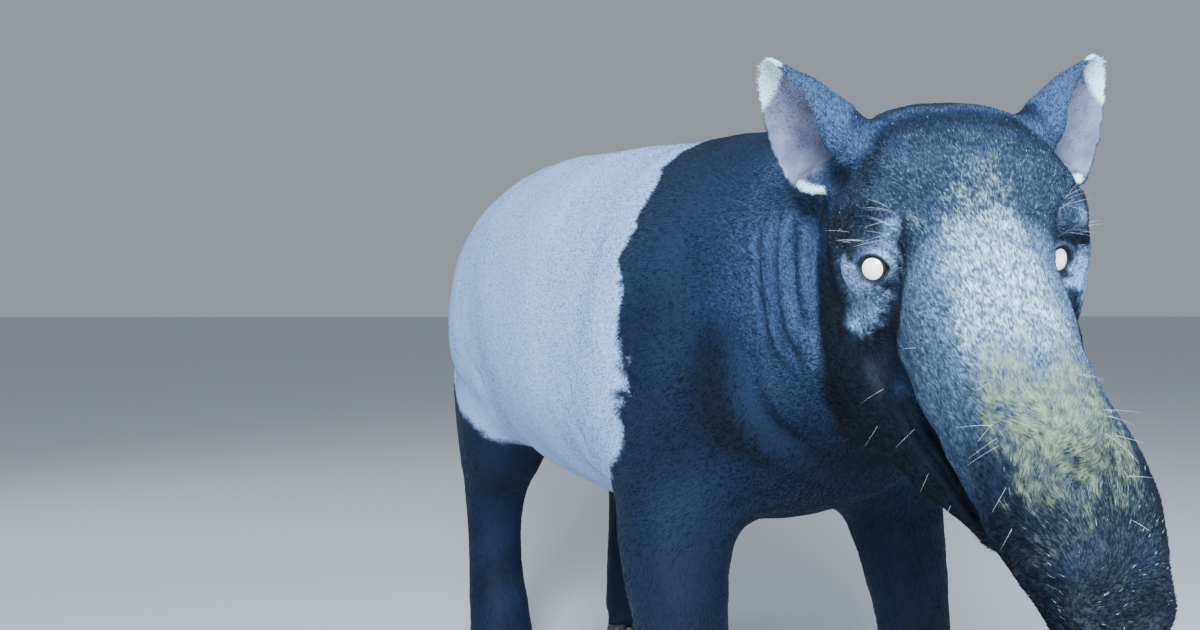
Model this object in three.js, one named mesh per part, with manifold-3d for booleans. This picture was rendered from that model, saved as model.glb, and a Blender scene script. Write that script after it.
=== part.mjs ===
// A life-size Malayan tapir, standing still with its head lowered and turned to its right.
// Millimetres. +X runs forwards along the body, +Y to the animal's left, +Z up. The hooves stand on z = 0.
import * as THREE from "three";
import { mergeVertices } from "three/addons/utils/BufferGeometryUtils.js";
import Module from "manifold-3d";

const wasm = await Module();
wasm.setup();

// Driving sizes

const GAP = 0.3; // left between nodes that touch
const FINE = 1; // detail smaller than this is smoothed off the flesh
const BOX_CENTRE = [170, 0]; // the middle of the animal's box on the floor, in x and y
const SIDES = { right: -1, left: 1 };

// The lists of half widths and reaches below hold one value for each even step of a form's length.
const TRUNK = {
  xs: [-705, -640, -520, -380, -180, 60, 240, 380, 500, 620],
  top: [815, 925, 1002, 1032, 1026, 1004, 986, 977, 957, 905],
  middle: [735, 745, 745, 735, 715, 700, 695, 700, 705, 720],
  bottom: [660, 585, 525, 480, 432, 420, 430, 450, 490, 555],
  half: [60, 160, 222, 256, 276, 278, 260, 236, 196, 130],
};
const MUSCLES = [
  [[395, 205, 720], [120, 90, 170], 22], // shoulder blade
  [[330, 205, 560], [110, 90, 110], 20], // upper arm
  [[-470, 205, 760], [170, 100, 150], 16], // haunch
  [[-400, 215, 590], [120, 90, 130], 24], // thigh
  [[-235, 250, 640], [70, 80, 130], -12], // flank hollow
  [[215, 250, 760], [60, 90, 150], -10], // behind the shoulder
];
const NECK = {
  path: [[360, 0, 740], [470, -2, 748], [580, -16, 762], [680, -50, 774], [770, -96, 780]],
  half: [190, 198, 172, 142, 112],
  up: [200, 208, 180, 145, 118],
  down: [235, 238, 215, 182, 150],
};
const TAIL = {
  path: [[-655, 0, 868], [-706, 0, 856], [-735, 0, 812], [-744, 0, 750]],
  half: [38, 28, 19, 10],
};

// The head has its own frame from midway between the eyes: forwards along the skull, to the left, and up.
const HEAD = { between_eyes: [872, -118, 772], yaw: -26, pitch: 34, roll: 4 };
const CRANIUM = {
  line: [-236, -200, -150, -90, -35, 20, 75, 125, 175, 220, 258, 284, 296],
  sway: [0, 0, 0, 4, 12, 1, -2, 0, 5, 16, 26, 36, 39], // the snout swings to the left
  rise: [-40, -34, -30, -28, -27, -25, -29, -34, -40, -50, -68, -96, -124],
  up: [50, 84, 118, 128, 121, 106, 92, 84, 76, 66, 54, 42, 32],
  down: [70, 100, 122, 126, 116, 97, 79, 65, 56, 50, 46, 40, 30],
  half: [62, 88, 104, 111, 112, 90, 67, 66, 58, 55, 59, 48, 38],
};
const FEATURES = [
  [[-16, 84, 40], [34, 26, 16], 8], // brow
  [[-50, 104, -24], [46, 30, 26], 9], // cheekbone
  [[-84, 90, 44], [40, 40, 22], -6], // temple
  [[8, 86, -52], [32, 26, 26], 10], // cheek below the eye
  [[28, 64, -2], [22, 30, 36], -10], // hollow before the eye
  [[80, 72, -46], [34, 26, 18], -6], // its run down beside the snout
  [[190, 56, -78], [44, 26, 18], 5], // upper lip
];
const LOWER_JAW = {
  line: [-160, -90, -10, 60, 110, 170, 222],
  sway: [0, 4, 8, 8, 4, 6, 14],
  rise: [-96, -106, -112, -118, -116, -110, -106],
  half: [92, 121, 123, 109, 77, 50, 34],
  up: [110, 112, 98, 62, 34, 22, 12],
  down: [70, 84, 90, 88, 66, 36, 18],
};
const EYE = { at: [-6, 75, -3], radius: 17, gaze: [0.8, 0.48, 0.36], tilt: 28 };
const LIDS = { thick: 5, mound: [1.1, 1.6, 1.45], rim: 2.6, rim_out: 21, long: 15, tall: 12, deep: 12 };
const MOUTH = { front: [256, -98], corner: [84, -89], back: 62, wide: 260, throat: 130, chin: 80 };
const NOSTRIL = {
  at: [312, 39, -112],
  apart: 19,
  faces: [0.85, 0.13, -0.5],
  splay: 0.2,
  size: [14, 8, 11],
  lean: 22,
};
const SNOUT_CUT = { at: [186, 0, -20], across: [1, 0, 0.176], wide: 240, tall: 160 };
const NAPE_CUT = { at: [-178, 0, -60], across: [0.947, 0, 0.321], wide: 400, tall: 620 };

// Ears: half widths and depths of the cup, how far it bellies outwards, the half angle of its wall in degrees,
// and how far it is hollowed. The wall wraps further round in front than behind.
const EAR = { root: [-98, 76, 47], length: 140, wall: 5, lean: -8, wrap: 0.16 };
const EAR_AXIS = { right: [-0.6, 0.67, 0.45], left: [-0.56, 0.77, 0.52] };
const EAR_CUT = { out: 32, across: [-0.15, 0.66, 0.74], wide: 156 };
const EAR_FACING = { right: [0.8, 0.58, 0], left: [1, 0.25, 0.12] };
const EAR_WIDTH = [[0, 34], [0.16, 46], [0.34, 54], [0.55, 50], [0.76, 37], [0.9, 24], [0.97, 14], [1, 0]];
const EAR_DEPTH = [[0, 33], [0.2, 36], [0.42, 33], [0.65, 25], [0.84, 16], [0.95, 9], [1, 0]];
const EAR_SWAY = [[0, 0], [0.4, 18], [0.75, 12], [1, -2]];
const EAR_REACH = [[0, 150], [0.25, 128], [0.45, 114], [0.7, 102], [1, 90]];
const EAR_HOLLOW = [[0, 0.01], [0.18, 0.02], [0.3, 0.55], [0.42, 1], [1, 1]];

// Legs: x along the body and y outwards at each height z of the path. `cuts` are the heights at which a leg
// is parted, and a toe is [forwards, outwards, turn, size, root height].
const LEGS = {
  foreleg: {
    x: [385, 370, 392, 426, 432, 438, 448],
    y: [112, 146, 164, 162, 160, 158, 158],
    z: [700, 560, 430, 290, 195, 110, 22],
    half: [80, 84, 74, 60, 51, 56, 66],
    up: [120, 104, 80, 63, 48, 54, 64],
    down: [140, 122, 84, 58, 51, 56, 58],
    cuts: [425, 225],
    ankle: [440, 158],
    toes: [[34, -4, 0, 1, 70], [20, 38, 30, 0.84, 66], [16, -44, -34, 0.84, 66], [-22, 52, 62, 0.62, 66]],
  },
  hindleg: {
    x: [-470, -470, -484, -545, -552, -532, -516],
    y: [108, 138, 154, 158, 158, 156, 156],
    z: [740, 600, 480, 345, 220, 112, 22],
    half: [108, 108, 90, 62, 49, 55, 64],
    up: [180, 180, 126, 64, 50, 55, 62],
    down: [200, 188, 128, 80, 52, 56, 58],
    cuts: [265],
    ankle: [-516, 156],
    toes: [[34, -2, 0, 1, 70], [18, 40, 30, 0.84, 66], [16, -42, -32, 0.84, 66]],
  },
};
const STRIDE = { foreleg_left: 55, foreleg_right: -20, hindleg_left: -45, hindleg_right: 60 };
const TOE = { length: 50, radius: 30 };
const HOOF = { wide: 30, deep: 27, high: 42, lean: 14, narrowing: 0.28, low_back: 0.35 };
const THIGH_CUT = { at: [-500, 0, 595], up: [0.46, 0, 0.888], wide: 700, long: 760, deep: 200 };

// Small tools

const degrees = THREE.MathUtils.degToRad;
const vector = (list) => new THREE.Vector3(...list);
const flip = ([x, y, z], side) => [x, y * side, z];

// The value at x on a smooth curve through rising stations [x, value], with no overshoot between them.
function through(stations, x) {
  const last = stations.length - 1;
  if (x <= stations[0][0]) return stations[0][1];
  if (x >= stations[last][0]) return stations[last][1];
  const i = stations.findIndex(([at]) => at > x) - 1;
  const slope = (k) => (stations[k + 1][1] - stations[k][1]) / (stations[k + 1][0] - stations[k][0]);
  const tangent = (k) => {
    if (k === 0) return slope(0);
    if (k === last) return slope(last - 1);
    const [before, after] = [slope(k - 1), slope(k)];
    return before * after <= 0 ? 0 : (2 * before * after) / (before + after);
  };
  const span = stations[i + 1][0] - stations[i][0];
  const t = (x - stations[i][0]) / span;
  return (
    stations[i][1] * (1 + 2 * t) * (1 - t) ** 2 +
    stations[i + 1][1] * t * t * (3 - 2 * t) +
    span * t * (1 - t) * (tangent(i) * (1 - t) - tangent(i + 1) * t)
  );
}

// A closed skin: point(share, angle) gives the surface at a share of the length and an angle round it.
function skin(point, around, along) {
  const geometry = new THREE.SphereGeometry(1, around, along);
  const { position, uv } = geometry.attributes;
  for (let i = 0; i < position.count; i++) {
    const share = Math.round((1 - uv.getY(i)) * along) / along;
    const turn = share === 0 || share === 1 ? 0 : Math.round(uv.getX(i) * around) % around;
    const p = point(share, (2 * Math.PI * turn) / around);
    position.setXYZ(i, p.x, p.y, p.z);
  }
  return geometry;
}

// A closed geometry as a solid, with its faces turned outwards.
function solid(geometry, matrix = new THREE.Matrix4()) {
  const bare = geometry.clone().applyMatrix4(matrix);
  bare.deleteAttribute("normal");
  bare.deleteAttribute("uv");
  const merged = mergeVertices(bare, 1e-3);
  const vertProperties = merged.attributes.position.array;
  const make = (triVerts) => new wasm.Manifold(new wasm.Mesh({ numProp: 3, vertProperties, triVerts }));
  const triVerts = new Uint32Array(merged.index.array);
  const made = make(triVerts);
  return made.volume() > 0 ? made : make(triVerts.slice().reverse());
}
const join = (solids) => wasm.Manifold.union(solids);

// A form round a path: each ring has a half width and a reach up and down, and `cap` gives the length over
// which each end closes. `round` squares the ring's upper and lower halves, `side` holds the direction of the
// width still along a limb, and `swell` pushes the surface out.
function loft({ path, half, up, down, around, along, cap, round = [2, 2], side, swell }) {
  const curve = new THREE.CatmullRomCurve3(path.map(vector), false, "centripetal");
  const length = curve.getLength();
  const stations = (list) => (Array.isArray(list[0]) ? list : list.map((v, i) => [i / (list.length - 1), v]));
  const [halves, ups, downs] = [half, up, down].map(stations);
  const dome = (s, reach) => (s < reach ? Math.sqrt(Math.max(0, 1 - (1 - s / reach) ** 2)) : 1);
  return skin(
    (share, angle) => {
      const t = (1 - Math.cos(Math.PI * share)) / 2;
      const centre = curve.getPointAt(t);
      const ahead = curve.getTangentAt(t);
      const across = side ? vector(side) : new THREE.Vector3(0, 0, 1).cross(ahead);
      across.addScaledVector(ahead, -across.dot(ahead)).normalize();
      const over = ahead.clone().cross(across);
      const ended = share <= 0 || share >= 1;
      const ends = ended ? 0 : dome(t * length, cap[0]) * dome((1 - t) * length, cap[1]);
      const [c, s] = [Math.cos(angle), Math.sin(angle)];
      const bow = (v) => Math.sign(v) * Math.abs(v) ** (2 / (s > 0 ? round[0] : round[1]));
      const wide = through(halves, t) * bow(c) * ends;
      const tall = through(s > 0 ? ups : downs, t) * bow(s) * ends;
      const p = centre.clone().addScaledVector(across, wide).addScaledVector(over, tall);
      if (!swell || ended) return p;
      return p.clone().addScaledVector(p.sub(centre).normalize(), swell(p.clone().add(centre)) * ends);
    },
    around,
    along,
  );
}

// How far bumps push the surface out at p: each is [centre, sizes, push], and repeats on the other side.
function bumps(list) {
  return (p) =>
    list.reduce((sum, [at, size, push]) => {
      const off = ((p.x - at[0]) / size[0]) ** 2 + ((Math.abs(p.y) - at[1]) / size[1]) ** 2;
      return sum + push * Math.exp(-off - ((p.z - at[2]) / size[2]) ** 2);
    }, 0);
}

// A placing matrix: at a point, with its own x along `ahead` and its own z as near `over` as it can be.
function placed(at, ahead, over = [0, 0, 1]) {
  const x = vector(ahead).normalize();
  const y = vector(over).cross(x).normalize();
  const z = x.clone().cross(y);
  return new THREE.Matrix4().makeBasis(x, y, z).setPosition(...at);
}

// A thin slab that parts what it runs through: in its own frame it lies across x, `wide` by `tall`.
const slab = (matrix, wide, tall) => solid(new THREE.BoxGeometry(GAP, wide, tall), matrix);

// Trunk, neck and tail

function trunk() {
  const { xs, top, middle, bottom, half } = TRUNK;
  const spread = (list) => list.map((v, i) => [(xs[i] - xs[0]) / (xs.at(-1) - xs[0]), v]);
  return loft({
    path: xs.map((x, i) => [x, 0, middle[i]]),
    half: spread(half),
    up: spread(top.map((v, i) => v - middle[i])),
    down: spread(middle.map((v, i) => v - bottom[i])),
    around: 32,
    along: 26,
    cap: [80, 80],
    round: [2.25, 2.1],
    swell: bumps(MUSCLES),
  });
}
const neck = () => loft({ ...NECK, around: 30, along: 14, cap: [60, 60], round: [2.1, 2.1] });
const tail = () => loft({ ...TAIL, up: TAIL.half, down: TAIL.half, around: 12, along: 9, cap: [20, 12] });

// Head

// `line`, `sway` and `rise` give the path of a form of the head, and the rest its rings.
function headLoft({ line, sway, rise, ...rings }, how) {
  const path = line.map((a, i) => [a, sway[i], rise[i]]);
  return loft({ path, ...rings, ...how });
}
const cranium = () =>
  headLoft(CRANIUM, { around: 36, along: 36, cap: [45, 20], round: [2.7, 2.3], swell: bumps(FEATURES) });
const lowerJaw = () => headLoft(LOWER_JAW, { around: 24, along: 16, cap: [60, 22], round: [2, 2.3] });

const turned = new THREE.Euler(degrees(HEAD.roll), degrees(HEAD.pitch), degrees(HEAD.yaw), "ZYX");
const headFrame = new THREE.Matrix4().makeRotationFromEuler(turned).setPosition(...HEAD.between_eyes);
const inHead = (matrix) => headFrame.clone().multiply(matrix);

// An eye's own x looks out along its gaze, and its y runs along the lids.
function eyeMatrix(side) {
  const lean = degrees(EYE.tilt);
  return inHead(placed(flip(EYE.at, side), flip(EYE.gaze, side), [-Math.sin(lean), 0, Math.cos(lean)]));
}
const eyeball = (grow = 0) => new THREE.SphereGeometry(EYE.radius + grow, 16, 10).rotateZ(-Math.PI / 2);

// The mound of the lids with a rim round the opening
function lids(side) {
  const mound = new THREE.SphereGeometry(EYE.radius + LIDS.thick, 16, 10).scale(...LIDS.mound);
  const rim = new THREE.TorusGeometry(1, LIDS.rim / LIDS.long, 6, 16).rotateY(Math.PI / 2);
  rim.scale(LIDS.long, LIDS.long, LIDS.tall).translate(LIDS.rim_out, 0, 0);
  return join([solid(mound, eyeMatrix(side)), solid(rim, eyeMatrix(side))]);
}

function eyeOpening(side) {
  const opening = new THREE.SphereGeometry(1, 16, 8).scale(LIDS.deep, LIDS.long, LIDS.tall);
  opening.translate(EYE.radius + LIDS.thick, 0, 0);
  return join([solid(opening, eyeMatrix(side)), solid(eyeball(GAP), eyeMatrix(side))]);
}

function nostril(side) {
  const at = vector(NOSTRIL.at).add(new THREE.Vector3(0, NOSTRIL.apart * side, 0));
  const faces = vector(NOSTRIL.faces).add(new THREE.Vector3(0, NOSTRIL.splay * side, 0));
  const hole = new THREE.SphereGeometry(1, 14, 8).scale(...NOSTRIL.size);
  hole.rotateX(degrees(NOSTRIL.lean) * side);
  return solid(hole, inHead(placed(at.toArray(), faces.toArray())));
}

// The cup of an ear: each ring is a thin wall bent round, open towards the face of the ear.
function ear(where) {
  const side = SIDES[where];
  const shape = skin(
    (share, angle) => {
      const bend = EAR.lean * share * share;
      const height = EAR.length * share;
      const sway = through(EAR_SWAY, Math.min(1, Math.max(0, share))) * side;
      if (share <= 0 || share >= 1) return new THREE.Vector3(bend, sway, height);
      const turn = angle / Math.PI; // 0 to 1 along the back, 1 to 2 along the cup
      const onBack = turn <= 1;
      const across = onBack ? 1 - 2 * turn : 2 * turn - 3;
      const swing = degrees(through(EAR_REACH, share)) * across * (1 - EAR.wrap * side * across);
      const thinned = EAR.wall * Math.min(1, (1 - share) / 0.12);
      const inner = (outer) => Math.max(0.02, (outer - thinned) * through(EAR_HOLLOW, share));
      const [w, d] = [EAR_WIDTH, EAR_DEPTH].map((list) => through(list, share));
      const [wide, deep] = onBack ? [w, d] : [inner(w), inner(d)];
      return new THREE.Vector3(bend - deep * Math.cos(swing), sway + wide * Math.sin(swing), height);
    },
    26,
    13,
  );
  const axis = vector(flip(EAR_AXIS[where], side)).normalize();
  const facing = vector(flip(EAR_FACING[where], side));
  facing.addScaledVector(axis, -facing.dot(axis)).normalize();
  const matrix = new THREE.Matrix4().makeBasis(facing, axis.clone().cross(facing), axis);
  return solid(shape, inHead(matrix.setPosition(...flip(EAR.root, side))));
}

// Legs

// How far a leg has swung forwards at a height, from nothing at its top to its whole stride at the floor
const swing = (name, plan, z) => STRIDE[name] * Math.max(0, 1 - z / plan.z[0]);

function leg(name, plan, side) {
  const path = plan.z.map((z, i) => [plan.x[i] + swing(name, plan, z), plan.y[i] * side, z]);
  const { half, up, down } = plan;
  const rings = { around: 20, along: 18, cap: [70, 40], round: [2.1, 2.1] };
  return loft({ path, half, up, down, side: [0, 1, 0], ...rings });
}

// A toe's own frame stands on the floor below its root, with x forwards along the toe.
function toeMatrix(name, plan, [forwards, outwards, turn], side) {
  const [x, y] = plan.ankle;
  return new THREE.Matrix4()
    .makeRotationZ(degrees(turn) * side)
    .setPosition(x + STRIDE[name] * 0.95 + forwards, (y + outwards) * side, 0);
}

function toeFlesh([, , , size, root]) {
  const r = TOE.radius * size;
  return loft({
    path: [[-34, 0, root + 8], [-4, 0, 50 * size], [TOE.length * 0.5 * size, 0, 24 * size]],
    half: [r * 0.9, r, r * 0.92],
    up: [r * 0.9, r, r * 0.85],
    down: [r, r * 1.2, r],
    side: [0, 1, 0],
    around: 10,
    along: 5,
    cap: [14, 14],
  });
}

// A hoof stands on a flat sole, narrows upwards and leans back; its rings close at both flat ends.
function hoof([, , , size], grow = 0) {
  const rings = 5;
  return skin(
    (share, angle) => {
      const height = Math.min(1, Math.max(0, (share * rings - 1) / (rings - 2)));
      const ended = share <= 0 || share >= 1;
      const narrow = 1 - HOOF.narrowing * height ** 1.6;
      const [w, d] = [HOOF.wide, HOOF.deep].map((v) => (ended ? 0 : v * size * narrow + grow));
      const back = ended ? 0.5 : Math.max(0, -Math.cos(angle));
      const top = HOOF.high * size * (1 - HOOF.low_back * back) + grow;
      const x = (TOE.length - HOOF.deep * 0.62 - HOOF.lean * height) * size + d * Math.cos(angle);
      return new THREE.Vector3(x, w * Math.sin(angle), top * height - (1 - height) * (1 + grow));
    },
    10,
    rings,
  );
}

// The flesh in one piece, with its openings, before it is parted

const onFloor = (made) => made.trimByPlane([0, 0, 1], 0);
const flesh = [trunk(), neck(), tail()].map((form) => solid(form));
flesh.push(solid(cranium(), headFrame), solid(lowerJaw(), headFrame));
const openings = [];
const hooves = [];
for (const [where, side] of Object.entries(SIDES)) {
  flesh.push(lids(side), ear(where));
  openings.push(eyeOpening(side), nostril(side));
  for (const [kind, plan] of Object.entries(LEGS)) {
    const name = `${kind}_${where}`;
    flesh.push(solid(leg(name, plan, side)));
    plan.toes.forEach((toe, i) => {
      const matrix = toeMatrix(name, plan, toe, side);
      flesh.push(solid(toeFlesh(toe), matrix));
      openings.push(solid(hoof(toe, GAP), matrix));
      hooves.push([`hoof_${kind.replace("leg", "")}_${where}_${i + 1}`, onFloor(solid(hoof(toe), matrix))]);
    });
  }
}
const whole = onFloor(join(flesh).simplify(FINE).subtract(join(openings)));

// Where the flesh is parted

function bodyCuts() {
  const { at, up, wide, long, deep } = THIGH_CUT;
  const below = vector(at).addScaledVector(vector(up).normalize(), -deep / 2).toArray();
  return [
    slab(placed([-729, 0, 824], [-0.55, 0, -0.83]), 70, 60), // tail
    slab(placed([285, 0, 750], [1, 0, 0]), 700, 700), // behind the shoulders
    slab(placed([592, -16, 772], [0.97, -0.18, 0.1]), 520, 640), // neck from shoulders
    slab(placed(at, up), wide, long), // hind legs from the trunk
    slab(placed(below, [0, 1, 0], up), long, deep), // and from each other
  ];
}

function headCuts() {
  const { front, corner, back, wide, throat, chin } = MOUTH;
  const slope = (front[1] - corner[1]) / (front[0] - corner[0]);
  const low = corner[1] + (back - corner[0]) * slope;
  const middle = [(front[0] + back) / 2, 0, (front[1] + low) / 2];
  const length = Math.hypot(front[0] - back, front[1] - low);
  const lips = slab(inHead(placed(middle, [-slope, 0, 1], [1, 0, 0])), wide, length);
  const behindChin = { at: [back, 0, low - throat / 2], across: [1, 0, 0], wide, tall: throat };
  const beforeChin = { at: [front[0], 0, front[1] - chin / 2], across: [1, 0, 0], wide, tall: chin };
  const across = [behindChin, beforeChin, SNOUT_CUT, NAPE_CUT];
  return [lips, ...across.map((cut) => slab(inHead(placed(cut.at, cut.across)), cut.wide, cut.tall))];
}

function earCut(where, side) {
  const axis = vector(flip(EAR_AXIS[where], side)).normalize();
  const at = vector(flip(EAR.root, side)).addScaledVector(axis, EAR_CUT.out).toArray();
  return slab(inHead(placed(at, flip(EAR_CUT.across, side))), EAR_CUT.wide, EAR_CUT.wide);
}

function legCuts(name, plan, side) {
  const byHeight = plan.z.map((z, i) => [z, plan.x[i]]).reverse();
  return plan.cuts.map((z) => {
    const x = through(byHeight, z) + swing(name, plan, z);
    return slab(placed([x, plan.y[3] * side, z], [0, 0, 1], [1, 0, 0]), 240, 330);
  });
}

const cuts = [...bodyCuts(), ...headCuts()];
for (const [where, side] of Object.entries(SIDES)) {
  cuts.push(earCut(where, side));
  for (const [kind, plan] of Object.entries(LEGS)) cuts.push(...legCuts(`${kind}_${where}`, plan, side));
}

// Each piece takes the name of the place its middle is nearest to.
const inBody = ([a, b, c]) => new THREE.Vector3(a, b, c).applyMatrix4(headFrame).toArray();
const PLACES = {
  tail: [-740, 0, 792],
  trunk: [-234, 0, 726],
  shoulders: [458, 0, 704],
  neck: [670, -16, 760],
  head: inBody([10, 0, 0]),
  proboscis: inBody([235, 0, -70]),
  lower_jaw: inBody([140, 0, -118]),
  ear_right: [752, -193, 915],
  ear_left: [857, 12, 929],
  foreleg_right: [392, -166, 325],
  foreleg_left: [430, 166, 325],
  forefoot_right: [430, -158, 117],
  forefoot_left: [492, 158, 117],
  hindleg_right: [-442, -122, 478],
  hindleg_left: [-442, 122, 478],
  hindfoot_right: [-477, -155, 136],
  hindfoot_left: [-562, 155, 136],
};
const black = { color: 0x23272e, roughness: 0.82, metalness: 0 };
const pale = { color: 0xbfc8d2, roughness: 0.82, metalness: 0 };
const horn = { color: 0x3a3732, roughness: 0.5, metalness: 0 };
const eyeGlass = { color: 0xdfe6ea, roughness: 0.1, metalness: 0 };

const tapir = new THREE.Group();

function add(name, made, look) {
  const { numProp, vertProperties, triVerts } = made.getMesh();
  const points = new Float32Array((vertProperties.length / numProp) * 3);
  for (let i = 0; i < points.length / 3; i++) {
    points.set(vertProperties.subarray(i * numProp, i * numProp + 3), i * 3);
  }
  const geometry = new THREE.BufferGeometry()
    .setAttribute("position", new THREE.BufferAttribute(points, 3))
    .setIndex(new THREE.BufferAttribute(triVerts, 1));
  geometry.computeVertexNormals();
  const mesh = new THREE.Mesh(geometry, new THREE.MeshStandardMaterial(look));
  mesh.name = name;
  tapir.add(mesh);
}

const pieces = new Map();
for (const piece of whole.subtract(join(cuts)).decompose()) {
  const { min, max } = piece.boundingBox();
  const middle = vector(min).add(vector(max)).multiplyScalar(0.5);
  const distance = (name) => middle.distanceTo(vector(PLACES[name]));
  const name = Object.keys(PLACES).reduce((best, other) => (distance(other) < distance(best) ? other : best));
  if (!pieces.has(name) || pieces.get(name).volume() < piece.volume()) pieces.set(name, piece);
}
for (const [name, piece] of pieces) add(name, piece, name === "trunk" ? pale : black);
for (const [name, made] of hooves) add(name, made, horn);
for (const [where, side] of Object.entries(SIDES)) {
  add(`eye_${where}`, solid(eyeball(), eyeMatrix(side)), eyeGlass);
}

tapir.position.set(-BOX_CENTRE[0], -BOX_CENTRE[1], 0);

export default tapir;
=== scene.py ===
# The looks of a life-size Malayan tapir, standing still: one skin over the whole body, its short coat, eyes,
# hooves and whiskers, on a plain floor. Metres, +X forwards along the body, +Y to the animal's left, +Z up.
import math

import bmesh
import bpy
import numpy as np
from bpy.props import FloatProperty, FloatVectorProperty, IntProperty, PointerProperty
from mathutils import Matrix, Vector
from mathutils.bvhtree import BVHTree


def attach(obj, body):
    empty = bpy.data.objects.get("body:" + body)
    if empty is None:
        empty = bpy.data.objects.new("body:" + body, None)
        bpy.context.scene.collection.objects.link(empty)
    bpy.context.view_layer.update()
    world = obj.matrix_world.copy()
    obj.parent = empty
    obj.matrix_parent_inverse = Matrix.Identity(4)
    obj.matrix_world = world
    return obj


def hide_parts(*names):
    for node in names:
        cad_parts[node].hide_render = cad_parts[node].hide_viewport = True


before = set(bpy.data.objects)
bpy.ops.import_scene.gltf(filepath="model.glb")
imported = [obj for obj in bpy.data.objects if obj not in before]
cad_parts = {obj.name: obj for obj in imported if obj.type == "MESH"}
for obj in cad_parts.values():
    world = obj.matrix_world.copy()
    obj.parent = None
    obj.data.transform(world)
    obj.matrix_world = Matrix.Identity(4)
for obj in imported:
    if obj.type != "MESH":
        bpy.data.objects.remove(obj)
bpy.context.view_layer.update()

bl_info = {
    "name": "Malayan tapir",
    "version": (1, 0, 0),
    "blender": (4, 5, 0),
    "location": "3D Viewport > Sidebar > Tapir",
    "description": "Builds the skin, coat, eyes, hooves and whiskers of a standing Malayan tapir",
    "category": "Object",
}

MM = 0.001
SIDES = {"right": -1, "left": 1}
BODY = "root"
BOX_CENTRE = np.array([170.0, 0.0, 0.0])

# The body's forms in millimetres, as in its solids

TRUNK = dict(
    xs=[-705, -640, -520, -380, -180, 60, 240, 380, 500, 620],
    top=[815, 925, 1002, 1032, 1026, 1004, 986, 977, 957, 905],
    middle=[735, 745, 745, 735, 715, 700, 695, 700, 705, 720],
    bottom=[660, 585, 525, 480, 432, 420, 430, 450, 490, 555],
    half=[60, 160, 222, 256, 276, 278, 260, 236, 196, 130],
)
MUSCLES = [
    ((395, 205, 720), (120, 90, 170), 22),
    ((330, 205, 560), (110, 90, 110), 20),
    ((-470, 205, 760), (170, 100, 150), 16),
    ((-400, 215, 590), (120, 90, 130), 24),
    ((-235, 250, 640), (70, 80, 130), -12),
    ((215, 250, 760), (60, 90, 150), -10),
]
NECK = dict(
    path=[(360, 0, 740), (470, -2, 748), (580, -16, 762), (680, -50, 774), (770, -96, 780)],
    half=[190, 198, 172, 142, 112],
    up=[200, 208, 180, 145, 118],
    down=[235, 238, 215, 182, 150],
)
TAIL = dict(path=[(-655, 0, 868), (-706, 0, 856), (-735, 0, 812), (-744, 0, 750)], half=[38, 28, 19, 10])
HEAD = dict(between_eyes=(872, -118, 772), yaw=-26, pitch=34, roll=4)
CRANIUM = dict(
    line=[-236, -200, -150, -90, -35, 20, 75, 125, 175, 220, 258, 284, 296],
    sway=[0, 0, 0, 4, 12, 1, -2, 0, 5, 16, 26, 36, 39],
    rise=[-40, -34, -30, -28, -27, -25, -29, -34, -40, -50, -68, -96, -124],
    up=[50, 84, 118, 128, 121, 106, 92, 84, 76, 66, 54, 42, 32],
    down=[70, 100, 122, 126, 116, 97, 79, 65, 56, 50, 46, 40, 30],
    half=[62, 88, 104, 111, 112, 90, 67, 66, 58, 55, 59, 48, 38],
)
FEATURES = [
    ((-16, 84, 40), (34, 26, 16), 8),
    ((-50, 104, -24), (46, 30, 26), 9),
    ((-84, 90, 44), (40, 40, 22), -6),
    ((8, 86, -52), (32, 26, 26), 10),
    ((28, 64, -2), (22, 30, 36), -10),
    ((80, 72, -46), (34, 26, 18), -6),
    ((190, 56, -78), (44, 26, 18), 5),
]
LOWER_JAW = dict(
    line=[-160, -90, -10, 60, 110, 170, 222],
    sway=[0, 4, 8, 8, 4, 6, 14],
    rise=[-96, -106, -112, -118, -116, -110, -106],
    half=[92, 121, 123, 109, 77, 50, 34],
    up=[110, 112, 98, 62, 34, 22, 12],
    down=[70, 84, 90, 88, 66, 36, 18],
)
EYE = dict(at=(-6, 75, -3), radius=17, gaze=(0.8, 0.48, 0.36), tilt=28)
LIDS = dict(thick=5, mound=(1.1, 1.6, 1.45), long=15, tall=12)
NOSTRIL = dict(at=(312, 39, -112), apart=19, faces=(0.85, 0.13, -0.5), splay=0.2, size=(14, 8, 11), lean=22)
EAR = dict(root=(-98, 76, 47), length=140, wall=5, lean=-8, wrap=0.16)
EAR_AXIS = dict(right=(-0.6, 0.67, 0.45), left=(-0.56, 0.77, 0.52))
EAR_FACING = dict(right=(0.8, 0.58, 0), left=(1, 0.25, 0.12))
EAR_WIDTH = [(0, 34), (0.16, 46), (0.34, 54), (0.55, 50), (0.76, 37), (0.9, 24), (0.97, 14), (1, 0)]
EAR_DEPTH = [(0, 33), (0.2, 36), (0.42, 33), (0.65, 25), (0.84, 16), (0.95, 9), (1, 0)]
EAR_SWAY = [(0, 0), (0.4, 18), (0.75, 12), (1, -2)]
EAR_REACH = [(0, 150), (0.25, 128), (0.45, 114), (0.7, 102), (1, 90)]
EAR_HOLLOW = [(0, 0.01), (0.18, 0.02), (0.3, 0.55), (0.42, 1), (1, 1)]
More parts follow.
